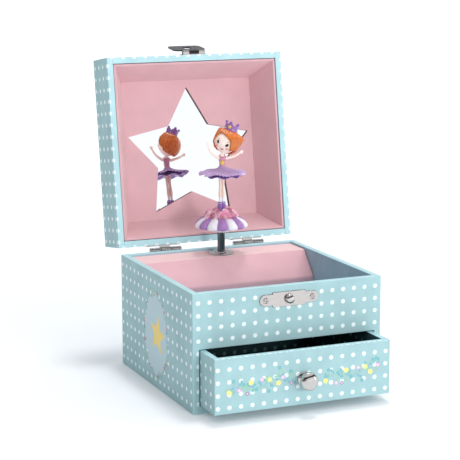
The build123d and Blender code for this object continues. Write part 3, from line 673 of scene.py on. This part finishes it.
LEAF, PLATE = 0.9, 0.8
HINGE_SCREWS = [s * 36.0 + d for s in (-1, 1) for d in (-8.0, 8.0)]
screws("box_screws", "box", [((x, -HALF - PLATE, STUD_Z), "-Y", 2.2, 0.7) for x in (-18.5, 18.5)]
       + [((x, HALF + LEAF, 75.0), "Y", 2.2, 0.7) for x in HINGE_SCREWS])
screws("lid_screws", "lid", [((x, HALF + LEAF, 100.0), "Y", 2.2, 0.7) for x in HINGE_SCREWS]
       + [((x, -HALF - PLATE, 98.0), "-Y", 1.9, 0.7) for x in (-6.5, 6.5)], lid=True)
bedplate = ((-19.0, 81.0), (-43.5, 53.0), (18.0, 81.0), (34.0, 53.0))
screws("movement_screws", "box", [((x, HALF, z), "Y", 2.8, 1.5) for x, z in bedplate])
screws("knob_screw", "drawer", [((0, DRAWER_Y + 4.5, KNOB_Z), "Y", 3.2, 1.6)])


# ---- printed flowers, star and cloud
def flower(u, v, r, turn=0.0, petals=5):
    out = []
    for a in turns(40):
        reach = r * (0.70 + 0.30 * abs(cos(petals * 0.5 * a)))
        out.append((u + reach * cos(a + turn), v + reach * sin(a + turn)))
    return out


def leaf(u, v, long, turn):
    pts = [(t * long, sin(pi * t) * long * 0.42 * (1 - 0.35 * t)) for t in (k / 15 for k in range(16))]
    pts += [(x, -y) for x, y in pts[-2:0:-1]]
    c, s = cos(turn), sin(turn)
    return [(u + x * c - y * s, v + x * s + y * c) for x, y in pts]


def star(r, notch, turn=pi / 2):
    spokes = [(notch if k % 2 else r, turn + pi * k / 5) for k in range(10)]
    return [(reach * cos(a), reach * sin(a)) for reach, a in spokes]


def twig(points, width=0.28, steps=6):
    # an even line through the points, as the two sides of a thin ribbon
    line = spline(points, steps)
    left, right = [], []
    for i, (u, v) in enumerate(line):
        a, b = line[max(i - 1, 0)], line[min(i + 1, len(line) - 1)]
        du, dv = b[0] - a[0], b[1] - a[1]
        n = (hypot(du, dv) or 1.0) / (width * 0.5)
        left.append((u - dv / n, v + du / n))
        right.append((u + dv / n, v - du / n))
    return left, right


def print_on(name, shapes, spot, body):
    # each shape is (outline, ink, layer): a skin a few hundredths thick, standing on the paper
    keys = sorted({s[1] for s in shapes})
    bm = bmesh.new()
    for i, (outline, key, layer) in enumerate(shapes):
        top = 0.012 + 0.014 * layer + 0.0008 * (i % 17)
        mat = keys.index(key)
        sides = outline if isinstance(outline, tuple) else (outline,)
        rows = [[bm.verts.new(spot(u, v, h)) for u, v in side] for side in sides for h in (-0.03, top)]
        if len(rows) == 2:
            solid(bm, rows, mat)
        else:
            lb, lt, rb, rt = rows
            surface(bm, [lb, lt, rt, rb, lb], mat, closed=False)
            cap(bm, (lb[0], rb[0], rt[0], lt[0]), mat)
            cap(bm, (lb[-1], rb[-1], rt[-1], lt[-1]), mat)
    finish_mesh(name, bm, body, " ".join("ink_" + k for k in keys), smooth=False)


SPRAY = random.Random(11)
BLOOMS = "yellow teal pink teal mauve yellow teal pink teal lime".split()
BLOOM_R = {"yellow": 2.1, "lime": 2.1, "pink": 1.7, "mauve": 1.55, "teal": 1.6}
garland = []
for u0, u1 in ((-58.0, -9.0), (17.0, 59.0)):
    def stem(u):
        return 22.0 + 6.0 * (u - u0) / (u1 - u0) + 2.4 * sin((u - u0) * 0.21)

    count = int((u1 - u0) / 3.4)
    line = [u0 + (u1 - u0) * k / 14 for k in range(15)]
    garland.append((twig([(u, stem(u)) for u in line]), "twig", 0))
    for k in range(count + 1):
        u = u0 + (u1 - u0) * k / count + SPRAY.uniform(-0.8, 0.8)
        side = 1 if k % 2 else -1
        reach = SPRAY.uniform(3.0, 6.5)
        if k % 3:
            tip = (u + SPRAY.uniform(-1.0, 2.6), stem(u) + side * reach)
            garland.append((twig([(u - 1.5, stem(u - 1.5)), (u, stem(u) + side * reach * 0.45), tip]), "twig", 0))
        else:
            tip = (u, stem(u) + side * 0.8)
        key = BLOOMS[k % 10]
        r = BLOOM_R[key]
        garland.append((flower(*tip, r, 0.5 * k), key, 2))
        if key != "teal":
            garland.append((flower(*tip, r * 0.34, 0, 3), "gold" if key == "yellow" else "white", 3))
        for n, ink_key in enumerate(("teal", "green")):
            a = SPRAY.uniform(0, tau)
            at = (u + 2.0 * cos(a), stem(u) + 2.6 * sin(a) - side * 1.4 * n)
            garland.append((leaf(*at, 3.0 - 0.9 * n, a + 0.8), ink_key, 1))
            garland.append((leaf(*at, 2.3 - 0.6 * n, a + 3.0), ink_key, 1))
print_on("print_garland", garland, lambda u, v, h: Vector((u, DRAWER_Y - h, v)) * MM, "drawer")

# a scalloped cloud with a star in it and a wreath round it, centred at (CU, CV)
CU, CV = -1.0, 41.0
cloud = []
for a in turns(100):
    s = 0.87 + 0.13 * abs(sin(a * 5)) ** 0.7
    cloud.append((CU + 24.5 * s * cos(a), CV + 31.5 * s * sin(a)))
medallion = [(cloud, "cloud", 0)]
medallion.append(([(CU - 3.5 + x, CV + 0.5 + y) for x, y in star(15.5, 6.9, pi / 2 + 0.16)], "gold", 2))
picks = "green red yellow mauve slate pink teal green yellow red mauve slate".split()
for i in range(34):
    a = tau * i / 34 + 0.07 * sin(3.0 * i)
    u = CU + (24.3 + 1.3 * sin(2.3 * i)) * cos(a)
    v = CV + (32.4 + 1.5 * cos(1.9 * i)) * sin(a)
    key = picks[i % len(picks)]
    if i % 2:
        medallion.append((flower(u, v, 1.25 + 0.35 * sin(i), i), key, 2))
        medallion.append((flower(u, v, 0.45, 0, 3), "white", 3))
    else:
        medallion.append((leaf(u, v, 2.6, a + 1.9), "green" if i % 4 else "slate", 1))
        medallion.append((leaf(u, v, 2.2, a - 1.4), key, 1))
ring = [(CU + 24.6 * cos(a), CV + 32.6 * sin(a)) for a in turns(40) + [tau]]
medallion.append((twig(ring, 0.22, 2), "twig", 1))
print_on("print_medallion_left", medallion, lambda u, v, h: Vector((-SIDE_X - h, u, v)) * MM, "box")
print_on("print_medallion_right", medallion, lambda u, v, h: Vector((SIDE_X + h, u, v)) * MM, "box")

# ---- the figure
lo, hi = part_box("figure_base")
FX, FY = (lo.x + hi.x) / 2 / MM, (lo.y + hi.y) / 2 / MM
BASE_Z = lo.z / MM
SHOE_Z = corner("figure_shoes", 0)[2]
SHOE_TOP = corner("figure_shoes", 1)[2]
TUTU_Z = corner("figure_legs", 1)[2]
LEG_X, TUTU_X, TORSO_X, NECK_X = FX + 0.6, FX + 1.6, FX + 1.1, FX + 0.6
BODY_TURN, HEAD_TURN, LEAN = radians(20), radians(43), radians(22)


def about(x, r, a, z, squash=1.0):
    # the point at radius r and angle a round an upright line through x
    return Vector((x + r * cos(a), FY + squash * r * sin(a), z))


def around(bm, x, r, z, seg, squash=1.0, start=0.0):
    return verts(bm, (about(x, r, start + a, z, squash) for a in turns(seg)))


def figure_part(part, mats, sharp):
    # builds a part of the figure from the function below it
    def build(make):
        bm = bmesh.new()
        make(bm)
        finish_mesh("look_figure_" + part, bm, "figure", mats, ("figure_" + part,), sharp)

    return build


def along_line(line, t):
    # the point at fraction t of the length of a polyline
    total = [0.0]
    for a, b in zip(line, line[1:]):
        total.append(total[-1] + hypot(b[0] - a[0], b[1] - a[1]))
    d = t * total[-1]
    for i, (a, b) in enumerate(zip(line, line[1:])):
        if d <= total[i + 1] or i == len(line) - 2:
            f = (d - total[i]) / (total[i + 1] - total[i])
            return a[0] + (b[0] - a[0]) * f, a[1] + (b[1] - a[1]) * f


@figure_part("base", "white petal_purple", 60)
def make_base(bm):
    lobes, per, steps = 14, 14, 24
    cols = lobes * per
    start = radians(-109) - tau / lobes / 2
    dome = [(7.0, 12.7), (11.0, 12.5), (14.8, 11.4), (18.4, 9.3), (20.7, 6.7), (21.2, 5.0), (20.8, 4.0), (19.6, 3.5)]
    dome = spline(dome, 6)
    rows = []
    for i in range(steps + 1):
        r, z = along_line(dome, i / steps)
        row = []
        for j in range(cols):
            dip = min(1.0, i / steps * 1.6) * (1 - abs(sin(pi * (j % per) / per)) ** 0.5)
            low = -1.3 * dip * (z - 3.0) / 9.0 + 0.7 * dip * (i / steps) ** 4
            p = about(FX, r * (1 - 0.10 * dip), start + tau * j / cols, BASE_Z + z + low)
            row.append(bm.verts.new(p * MM))
        rows.append(row)
    surface(bm, rows, lambda i, j: 0 if (j // per) % 2 else 1)
    # the hollow underside and the hub that sits on the magnet
    hollow = ((18.2, 3.7), (16.8, 5.0), (12.0, 5.6), (6.6, 5.2), (6.5, 2.4), (6.2, 0.25), (5.8, 0.02), (4.2, 0.02),
              (4.2, 1.8))
    inner = [around(bm, FX, r, BASE_Z + z, cols, start=start) for r, z in hollow]
    surface(bm, [rows[-1]] + inner)
    cap(bm, inner[-1])
    cap(bm, rows[0])


def petal(bm, centre, axes, r, tilt, spin, width, height, mat, cup):
    # one cupped petal standing on a ring of radius r about the last axis
    ax, ay, az = axes
    outward = ax * cos(spin) + ay * sin(spin)
    side = ay * cos(spin) - ax * sin(spin)
    nu, nv, thick = 9, 7, 0.22
    rims = []
    for depth in (0.0, thick):
        rows = []
        for i in range(nv):
            v = i / (nv - 1)
            w = width * (0.42 + 0.58 * sin(min(1.0, v * 1.25 + 0.12) * pi * 0.62))
            row = []
            for j in range(nu):
                u = 2 * j / (nu - 1) - 1
                lift = height * v * (1 - 0.22 * u * u * v)
                lean = r + tilt * v * height + 0.35 * height * max(0, v - 0.7) - cup * w * u * u - depth
                row.append(bm.verts.new((centre + outward * lean + side * (u * w) + az * lift) * MM))
            rows.append(row)
        surface(bm, rows, mat, closed=False)
        right, left = [row[-1] for row in rows[1:-1]], [row[0] for row in rows[-2:0:-1]]
        rims.append(rows[0] + right + rows[-1][::-1] + left)
    surface(bm, rims, mat)


def basis(normal):
    az = Vector(normal).normalized()
    ax = az.cross(Vector((0, 0, 1)))
    if ax.length < 0.05:
        ax = Vector((1, 0, 0))
    ax.normalize()
    return ax, az.cross(ax), az


def rose(bm, centre, normal, size, mat):
    for ring, (n, r, tilt, h) in enumerate(((3, 0.10, 0.05, 0.74), (4, 0.27, 0.28, 0.70), (6, 0.46, 0.62, 0.60))):
        for k in range(n):
            spin = tau * k / n + ring * 0.7
            wide = size * (0.30 + 0.10 * ring)
            petal(bm, centre, basis(normal), r * size, tilt, spin, wide, h * size, mat if ring else 1 - mat, 0.30)


@figure_part("roses", "rose rose_light", 55)
def make_roses(bm):
    top = BASE_Z + 12.8
    # a mound under the flowers
    mound = [(0, 12.3), (0, 12.3), (10.6, 12.2), (10.6, 12.2), (9.6, 13.6), (6.4, 15.6), (3.0, 16.8), (0, 17.0)]
    lathe(bm, spline(mound, 4), (FX, FY, BASE_Z), "Z", 48, 1)
    for k in range(6):
        a = radians(-98 + 60 * k)
        at = about(FX, 9.2 + 0.4 * sin(5 * k), a, top - 0.9 + 0.3 * sin(3 * k))
        rose(bm, at, (cos(a), sin(a), 0.50), 5.7, k % 2)
    for k in range(4):
        a = radians(-72 + 90 * k)
        rose(bm, about(FX, 4.2, a, top + 2.4), (cos(a) * 0.8, sin(a) * 0.8, 1), 3.3, (k + 1) % 2)
    # loose petals lying on the dome between the flowers
    for k in range(16):
        a = radians(-101 + 22.5 * k)
        r = 11.2 + 0.7 * sin(2.1 * k)
        ax, ay, az = basis((cos(a) * 0.75, sin(a) * 0.75, 0.95))
        at = about(FX, r, a, BASE_Z + 12.4 - 0.13 * (r - 10) ** 2)
        petal(bm, at, (ay, ax, az), 0.0, 0.5, 1.2 * k, 2.0, 1.9, 1 - k % 2, 0.25)


def tube(bm, points, radii, segs=24, mat=0, up=(0, 1, 0), squash=1.0):
    # swept rings through the points (mm), with the radius blended between them
    line = spline([(*p, r) for p, r in zip(points, radii)], 6)
    pts = [Vector(p[:3]) for p in line]
    rows = []
    for i, p in enumerate(pts):
        along = (pts[min(i + 1, len(pts) - 1)] - pts[max(i - 1, 0)]).normalized()
        side = along.cross(Vector(up)).normalized()
        front = side.cross(along) * squash
        r = line[i][3]
        spokes = (side * cos(a) + front * sin(a) for a in turns(segs))
        rows.append(verts(bm, (p + spoke * r for spoke in spokes)))
    solid(bm, rows, mat)


def paint_faces(got, mat):
    for f in {f for v in got["verts"] for f in v.link_faces}:
        f.material_index = mat


def ball(bm, centre, r, mat=0, scale=(1, 1, 1), turn=Matrix.Identity(3), seg=24):
    m = Matrix.Translation(Vector(centre) * MM) @ turn.to_4x4() @ Matrix.Diagonal((*scale, 1))
    got = bmesh.ops.create_uvsphere(bm, u_segments=seg, v_segments=seg // 2, radius=r * MM, matrix=m)
    paint_faces(got, mat)


@figure_part("shoes", "purple petal_lilac", 50)
def make_shoes(bm):
    for s in (-1, 1):
        x = LEG_X + s * 1.5
        z = SHOE_Z
        pts = [(x + s * 0.15, FY - 0.35, z - 1.2), (x + s * 0.12, FY - 0.3, z - 0.2), (x + s * 0.1, FY - 0.1, z + 1.6)]
        pts += [(x, FY + 0.1, z + 3.4), (x, FY, z + 5.2), (x, FY, SHOE_TOP + 0.1)]
        tube(bm, pts, [1.1, 1.3, 1.7, 1.85, 1.62, 1.42], squash=1.12)
        # ribbon bands at the ankle
        for band in (z + 4.3, z + 5.5):
            m = Matrix.Translation(Vector((x, FY, band)) * MM) @ Matrix.Rotation(0.16 * s, 4, "Y")
            cone = {"segments": 28, "radius1": 1.84 * MM, "radius2": 1.76 * MM, "depth": 0.55 * MM}
            got = bmesh.ops.create_cone(bm, cap_ends=False, matrix=m, **cone)
            paint_faces(got, 1)


@figure_part("legs", "legs", 60)
def make_legs(bm):
    for s in (-1, 1):
        x = LEG_X + s * 1.22
        z = SHOE_TOP
        pts = [(x, FY, z - 0.6), (x, FY, z + 1.2), (x + s * 0.06, FY + 0.2, z + 6.5), (x, FY + 0.1, z + 11.0)]
        pts += [(x, FY - 0.1, z + 12.8), (x, FY, z + 18.0), (x, FY, TUTU_Z + 0.4)]
        tube(bm, pts, [1.02, 1.0, 1.26, 1.08, 1.04, 1.24, 1.3], 28)


@figure_part("tutu", "tutu_top tutu_under", 50)
def make_tutu(bm):
    # the hem runs out to a point on either side of the figure as it faces the front left
    points = (radians(-23.2), radians(156.8))

    def point(a):
        return sum(exp(-(remainder(a - p, tau) / 0.24) ** 2) for p in points)

    def over(q, a):
        rim = 18.3 * (1 + 0.018 * sin(9 * a + 1.2) - 0.018 + 0.05 * point(a))
        r = 3.0 + (rim - 3.0) * q
        f = max(0.0, (r - 3.5) / (18.3 - 3.5))
        drop = 4.5 * f ** 0.62 + 0.5 * point(a) * f
        wave = (0.62 * sin(8 * a + 0.8 * sin(2 * a + 0.5)) + 0.35 * sin(3 * a + 1.3)) * f ** 1.7
        pleat = 0.26 * sin(40 * a + 2.0 * sin(3 * a)) * f ** 0.7
        z = 5.0 - drop + wave + pleat
        thick = (0.55 if q < 1 else 0.38) + 0.25 * (1 - q)
        return (r, z), (r - 0.12 * (q == 1), z - thick)

    # a shorter under-layer with its own waves
    def under(q, a):
        r = 2.6 + (14.4 - 2.6) * q
        z = 3.3 - 4.3 * q ** 0.7 + 0.7 * sin(8 * a + 1.0) * q ** 1.6 - 0.4
        return (r, z - 0.4), (r, z - 0.75)

    for layer, steps, cols, mat in ((over, 26, 360, 0), (under, 12, 180, 1)):
        top, low = [], []
        for i in range(steps + 1):
            pairs = [(layer(i / steps, a), a) for a in turns(cols)]
            for side, store in enumerate((top, low)):
                store.append(verts(bm, (about(TUTU_X, p[side][0], a, TUTU_Z + p[side][1]) for p, a in pairs)))
        surface(bm, top, mat)
        surface(bm, low, 1)
        surface(bm, [top[-1], low[-1]], mat)
        cap(bm, top[0], mat)
        cap(bm, low[0], 1)


def body_dir(turn):
    return Vector((-sin(turn), -cos(turn), 0))


def star_solid(bm, centre, normal, up, r, thick, mat):
    az = Vector(normal).normalized()
    ay = (Vector(up) - az * az.dot(Vector(up))).normalized()
    ax = ay.cross(az)
    ring = [centre + ax * x + ay * y for x, y in star(r, r * 0.46)]
    low = verts(bm, (p - az * 0.5 for p in ring))
    mid = verts(bm, ring)
    tip = bm.verts.new((centre + az * thick) * MM)
    surface(bm, [low, mid], mat)
    for i in range(10):
        cap(bm, (mid[i], mid[(i + 1) % 10], tip), mat)
    cap(bm, low, mat)


@figure_part("torso", "bodice skin tutu_top gold", 50)
def make_torso(bm):
    z0 = TUTU_Z + 4.4
    bodice = [(3.1, 0.0), (2.55, 1.4), (2.3, 3.2), (2.6, 5.4), (3.0, 7.2), (2.95, 8.6), (2.7, 9.4)]
    neck = [(2.7, 9.4), (2.6, 9.9), (2.1, 10.6), (1.3, 11.0), (1.1, 11.6), (1.1, 13.4)]
    rows, skin = ([around(bm, TORSO_X, r, z0 + h, 40, 0.86) for r, h in spline(line, 5)] for line in (bodice, neck))
    surface(bm, rows, lambda i, j: 2 if i < 5 else 0)
    cap(bm, rows[0], 2)
    surface(bm, skin, 1)
    cap(bm, skin[-1], 1)
    bmesh.ops.remove_doubles(bm, verts=bm.verts, dist=1e-6)
    f = body_dir(BODY_TURN)
    side = Vector((f.y, -f.x, 0))

    def spot(h):
        return Vector((TORSO_X, FY, z0 + h))

    star_solid(bm, spot(4.4) + f * 2.45, f, (0, 0, 1), 2.4, 0.6, 3)
    # a beaded neckline, two straps and a gathered waist
    for a in turns(14):
        ball(bm, about(TORSO_X, 2.95, a, z0 + 8.9, 0.86), 0.42, 0, seg=10)
    for s in (-1, 1):
        strap = [spot(9.2) + side * (s * 1.9) + f * 1.9, spot(10.4) + side * (s * 1.7) + f * 1.0]
        tube(bm, strap + [spot(10.2) + side * (s * 1.8) - f * 1.2], [0.4, 0.4, 0.4], 10, 0, up=side)
    for a in turns(20):
        ball(bm, about(TORSO_X, 2.8, a, z0 + 0.55, 2.6 / 2.8), 0.55, 2, seg=10)


def hand(bm, wrist, along, spread):
    along, spread = along.normalized(), spread.normalized()
    up = along.cross(spread)
    palm = wrist + along * 1.0
    ball(bm, palm, 1.05, 0, (1, 0.62, 1), Matrix((spread, up, along)).transposed(), 16)
    for off, long in ((-0.66, 1.7), (-0.22, 2.05), (0.22, 2.0), (0.64, 1.6)):
        a = palm + spread * off + along * 0.4
        finger = [a, a + along * long * 0.5 + spread * off * 0.15, a + along * long + spread * off * 0.4]
        tube(bm, finger, [0.34, 0.31, 0.22], 10, up=up)
    a = palm - spread * 0.7
    thumb = [a, a - spread * 0.7 + along * 0.5, a - spread * 0.9 + along * 1.2]
    tube(bm, thumb, [0.34, 0.32, 0.24], 10, up=up)


@figure_part("arms", "skin", 60)
def make_arms(bm):
    left = ((-1.2, 162.7), (-2.9, 163.3), (-5.6, 165.2), (-8.2, 167.8), (-9.9, 170.6), (-10.9, 172.6))
    right = ((3.2, 162.4), (5.0, 162.3), (8.6, 162.9), (12.2, 163.9), (14.6, 164.9), (16.2, 165.8))
    for arm in (left, right):
        pts = [Vector((FX + x, FY, z)) for x, z in arm]
        tube(bm, pts, [1.1, 1.2, 1.08, 0.98, 0.84, 0.7], 22)
        along = pts[-1] - pts[-2]
        hand(bm, pts[-1] - along.normalized() * 0.3, along, along.cross(Vector((0, 1, 0))))

# ---- head: its own frame, leaning to one side and turned
HEAD_UP = Vector((sin(LEAN), 0, cos(LEAN)))
HEAD_C = Vector((NECK_X + 0.7, FY, TUTU_Z + 16.4)) + HEAD_UP * 8.9
face = body_dir(HEAD_TURN)
HEAD_F = (face - HEAD_UP * HEAD_UP.dot(face)).normalized()
HEAD_S = HEAD_F.cross(HEAD_UP) * -1.0
HEAD_R = 9.2


def head_point(lon, lat, k=1.0, shape=True):
    # lon 0 is the face, positive to the viewer's right; lat up
    s, f, u = sin(lon) * cos(lat), cos(lon) * cos(lat), sin(lat)
    if shape:
        chin = max(0.0, -u)
        s *= 1.0 + 0.05 * exp(-((u + 0.25) ** 2) / 0.08) - 0.26 * chin ** 2.2
        f *= 0.97 - 0.06 * chin + 0.03 * exp(-((u + 0.35) ** 2) / 0.05) * max(0.0, f)
        u *= 0.97 + 0.04 * chin
    return HEAD_C + (HEAD_S * s + HEAD_F * f + HEAD_UP * u) * (HEAD_R * k)


def patch(bm, outline, mat, k0=0.985, k1=1.006, rings=3, dome=0.0):
    # a thin skin shape on the face, given as (lon, lat) in degrees; dome raises its middle
    n = len(outline)
    cu = sum(p[0] for p in outline) / n
    cv = sum(p[1] for p in outline) / n

    def loop(t, k):
        spots = [(radians(cu + (u - cu) * t), radians(cv + (v - cv) * t)) for u, v in outline]
        return verts(bm, (head_point(u, v, k) for u, v in spots))

    loops = [loop(1, k0)] + [loop(t, k1 + dome * (1 - t * t)) for t in (1 - i / rings for i in range(rings))]
    tip = bm.verts.new(head_point(radians(cu), radians(cv), k1 + dome) * MM)
    surface(bm, loops, mat)
    for i in range(n):
        cap(bm, (loops[-1][i], loops[-1][(i + 1) % n], tip), mat)
    cap(bm, loops[0], mat)


def oval(u, v, a, b, turn=0.0):
    c, s = cos(turn), sin(turn)
    spots = [(a * cos(w), b * sin(w)) for w in turns(28)]
    return [(u + x * c - y * s, v + x * s + y * c) for x, y in spots]


@figure_part("head", "skin black white lips blush brow", 60)
def make_head(bm):
    nlon, nlat = 72, 44
    skull = [[(lon, -pi / 2 + pi * i / nlat) for lon in turns(nlon)] for i in range(1, nlat)]
    rows = [verts(bm, (head_point(*at) for at in row)) for row in skull]
    solid(bm, rows)
    ball(bm, head_point(0, radians(-17)), 0.95, 0, (1, 1, 0.8), seg=18)
    for s, u, v in ((-1, -26.0, -13.0), (1, 24.0, -17.0)):
        patch(bm, oval(u, v, 6.8, 9.8, -0.10 * s), 1, dome=0.020, rings=4)
        # a small white dot high on each eye: painted highlight
        patch(bm, oval(u - 2.0, v + 4.2, 1.3, 1.6), 2, k0=1.012, k1=1.034, dome=0.005)
        # lashes: two short strokes at the outer corner
        for dv in (5.5, 1.5):
            low = v + dv * 0.6
            patch(bm, [(u + s * 4.5, low + 1.4), (u + s * 11.0, v + dv + 5.0), (u + s * 5.4, low - 1.0)], 1, rings=2)
        brow = [(u - 7 + 1.8 * k, v + 16.0 + 2.4 * sin(pi * k / 8)) for k in range(9)]
        patch(bm, brow + [(x, y - 1.3) for x, y in brow[::-1]], 5, rings=2)
        patch(bm, oval(u + s * 11, v - 19, 9.0, 6.6), 4, k1=1.004)
    # a small smile
    upper = [(-10 + 2.8 * k, -38 - 5.0 * sin(pi * k / 10)) for k in range(11)]
    lower = [(x, y - 7.0 * sin(pi * (k + 0.6) / 11.2) - 1.2) for k, (x, y) in enumerate(upper)]
    patch(bm, upper + lower[::-1], 3, rings=2, dome=0.008)

# how far down the hair reaches, in degrees: a swept fringe over the face, a bob round the sides and back
HEM = (
    (-180, -58), (-140, -57), (-116, -54), (-98, -46), (-82, -24), (-66, -14), (-56, 0), (-47, 20), (-36, 31),
    (-22, 34), (-6, 29), (10, 22), (26, 14), (36, 2), (42, -18), (50, -36), (66, -32), (84, -26), (104, -36),
    (135, -52), (180, -58),
)
# flicks as (rise, longitude, its width and power, latitude, its width and power): a large one on the viewer's right,
# smaller ones on the left and behind, and a hollow at the temple
FLICKS = (
    (0.45, 90, 30, 1.4, 27, 20, 1.3), (0.22, -80, 32, 1.6, 46, 17, 1.5),
    (0.18, -138, 30, 1.6, 38, 19, 1.5), (-0.05, -60, 22, 2, -4, 20, 2),
)


@figure_part("hair", "hair", 60)
def make_hair(bm):
    nlon, nlat = 216, 60

    def hem(d):
        for (a, va), (b, vb) in zip(HEM, HEM[1:]):
            if a <= d <= b:
                t = (d - a) / (b - a)
                return radians(va + (vb - va) * t * t * (3 - 2 * t))

    def radius(lon, d, lat, q):
        lock = sin(lon * 17 + lat * 5.0 + 1.5 * sin(lon * 3))
        r = 1.13 + 0.016 * lock * (0.35 + 0.65 * q) + 0.010 * sin(lon * 41 + lat * 9) * q
        e = degrees(lat)
        for rise, d0, dw, dp, e0, ew, ep in FLICKS:
            r += rise * exp(-abs((d - d0) / dw) ** dp - abs((e - e0) / ew) ** ep)
        return r + 0.03 * q ** 3

    outer, inner = [], []
    for i in range(nlat + 1):
        q = i / nlat
        lip = max(0.0, (q - 0.94) / 0.06)
        ro, ri = [], []
        for lon in turns(nlon):
            d = degrees(lon) - (360 if degrees(lon) > 180 else 0)
            lat = pi / 2 - (pi / 2 - hem(d)) * max(q, 0.004)
            r = radius(lon, d, lat, q) - 0.045 * lip * lip
            ro.append(bm.verts.new(head_point(lon, lat, r, False) * MM))
            ri.append(bm.verts.new(head_point(lon, lat + 0.01, 1.035, False) * MM))
        outer.append(ro)
        inner.append(ri)
    surface(bm, outer)
    surface(bm, inner)
    surface(bm, [outer[-1], inner[-1]])
    cap(bm, outer[0])
    cap(bm, inner[0])


@figure_part("crown", "purple gold", 40)
def make_crown(bm):
    seg, points, h0 = 80, 5, 8.9

    def at(r, a, h):
        return HEAD_C + HEAD_S * (r * sin(a)) + HEAD_F * (r * cos(a)) + HEAD_UP * (h0 + h)

    rows = [[] for _ in range(6)]
    for a in turns(seg):
        phase = (a * points / tau) % 1.0
        tall = 3.8 + 2.8 * abs(2 * phase - 1) ** 0.7
        r = 4.7 + 0.14 * tall
        wall = ((4.95, 0.0), (5.15, 0.9), (5.05, 1.3), (r, tall), (r - 1.1, tall - 0.1), (4.15, 0.9))
        for row, spot in zip(rows, wall):
            row.append(bm.verts.new(at(spot[0], a, spot[1]) * MM))
    surface(bm, rows)
    cap(bm, rows[5])
    cap(bm, rows[0])
    for k in range(points):
        ball(bm, at(5.1, tau * k / points, 6.4), 1.1, 0, seg=16)
        ball(bm, at(5.35, tau * (k + 0.5) / points, 1.5), 0.5, 1, seg=12)
    star_solid(bm, at(5.35, 0, 3.0), HEAD_F - HEAD_UP * 0.15, HEAD_UP, 1.9, 0.6, 1)

# ---- floor, light, camera
REACH = 14.0
floor_mesh = bpy.data.meshes.new("floor")
corners = [(x * REACH, y * REACH, -0.0002) for x, y in ((-1, -1), (1, -1), (1, 1), (-1, 1))]
floor_mesh.from_pydata(corners, [], [(0, 1, 2, 3)])
floor = new_object("floor", floor_mesh)
t = paint("pale_floor")
p = t.mm()
t.link(t.mix(t.noise(p, 0.004, 3.0), rgb(246, 248, 252), rgb(252, 252, 254)), "Base Color")
t.link(t.ramp(t.vec("LENGTH", p), 300.0, 1300.0, 0.04, 0.34), "Emission Strength")
floor_mesh.materials.append(
    t.put({"Emission Color": (0.97, 0.985, 1.0, 1), "Roughness": 0.9, "Specular IOR Level": 0.1})
)

# a bright ceiling and a soft wall of light that fades from the right round to the left
world = bpy.data.worlds.new("studio")
bpy.context.scene.world = world
t = Tree(world, "Background")
sky = t.add("ShaderNodeTexCoord").outputs["Generated"]
height = t.height_of(sky)
wall = t.ramp(t.vec("DOT_PRODUCT", sky, (0.92, -0.387, 0.0)), -0.5, 0.62, 0.06, 1.12)
lift = t.add("ShaderNodeMapRange", {0: height}).outputs[0]
level = t.add("ShaderNodeMix", {0: lift, 2: wall, 3: 0.92}).outputs[0]
# a black flag high in front, seen only in the metal's reflections
band = t.times(t.ramp(height, 0.27, 0.33), t.ramp(height, 0.72, 0.62))
flag = t.times(band, t.ramp(t.vec("DOT_PRODUCT", sky, (0.2, -1.0, 0.0)), 0.05, 0.25))
shiny = t.add("ShaderNodeLightPath").outputs["Is Glossy Ray"]
dim = t.calc("SUBTRACT", 1.0, t.times(t.times(flag, shiny), 0.93))
t.link(t.times(level, dim), "Strength")
t.put({"Color": (0.96, 0.98, 1.0, 1)})

for name, spot, target, size, power, color, glossy in (
    ("key", (0.32, -2.2, 0.52), (0, 0, 0.12), (0.42, 0.42), 15.5, (1.0, 0.99, 0.975), False),
    ("edge_light", (1.55, -1.25, 0.35), (0, 0, 0.1), (0.22, 0.9), 1.6, (1, 1, 1), True),
    ("top_light", (0.25, 0.30, 2.2), (0, 0, 0.1), (0.36, 0.36), 14.0, (1, 1, 1), True),
):
    light = bpy.data.lights.new(name, "AREA")
    light.shape = "RECTANGLE"
    light.size, light.size_y = size
    light.energy = power
    light.color = color
    o = new_object(name, light)
    o.location = spot
    o.rotation_euler = (Vector(target) - Vector(spot)).to_track_quat("-Z", "Y").to_euler()
    o.visible_glossy = glossy

CAM_AT = Vector((-475.12, -1077.34, 339.50)) * MM
FORWARD = Vector((0.3865863, 0.9030199, -0.1873663)).normalized()
ROLL = radians(-0.1224)
right = FORWARD.cross(Vector((0, 0, 1))).normalized()
up = right.cross(FORWARD)
right, up = right * cos(ROLL) + up * sin(ROLL), up * cos(ROLL) - right * sin(ROLL)
cam = bpy.data.cameras.new("camera")
cam.sensor_width = 36.0
cam.lens = 123.73591
cam.clip_start, cam.clip_end = 0.05, 60
cam_o = new_object("camera", cam)
cam_o.matrix_world = Matrix.Translation(CAM_AT) @ Matrix((right, up, -FORWARD)).transposed().to_4x4()
bpy.context.scene.camera = cam_o
bpy.context.scene.view_settings.view_transform = "Standard"
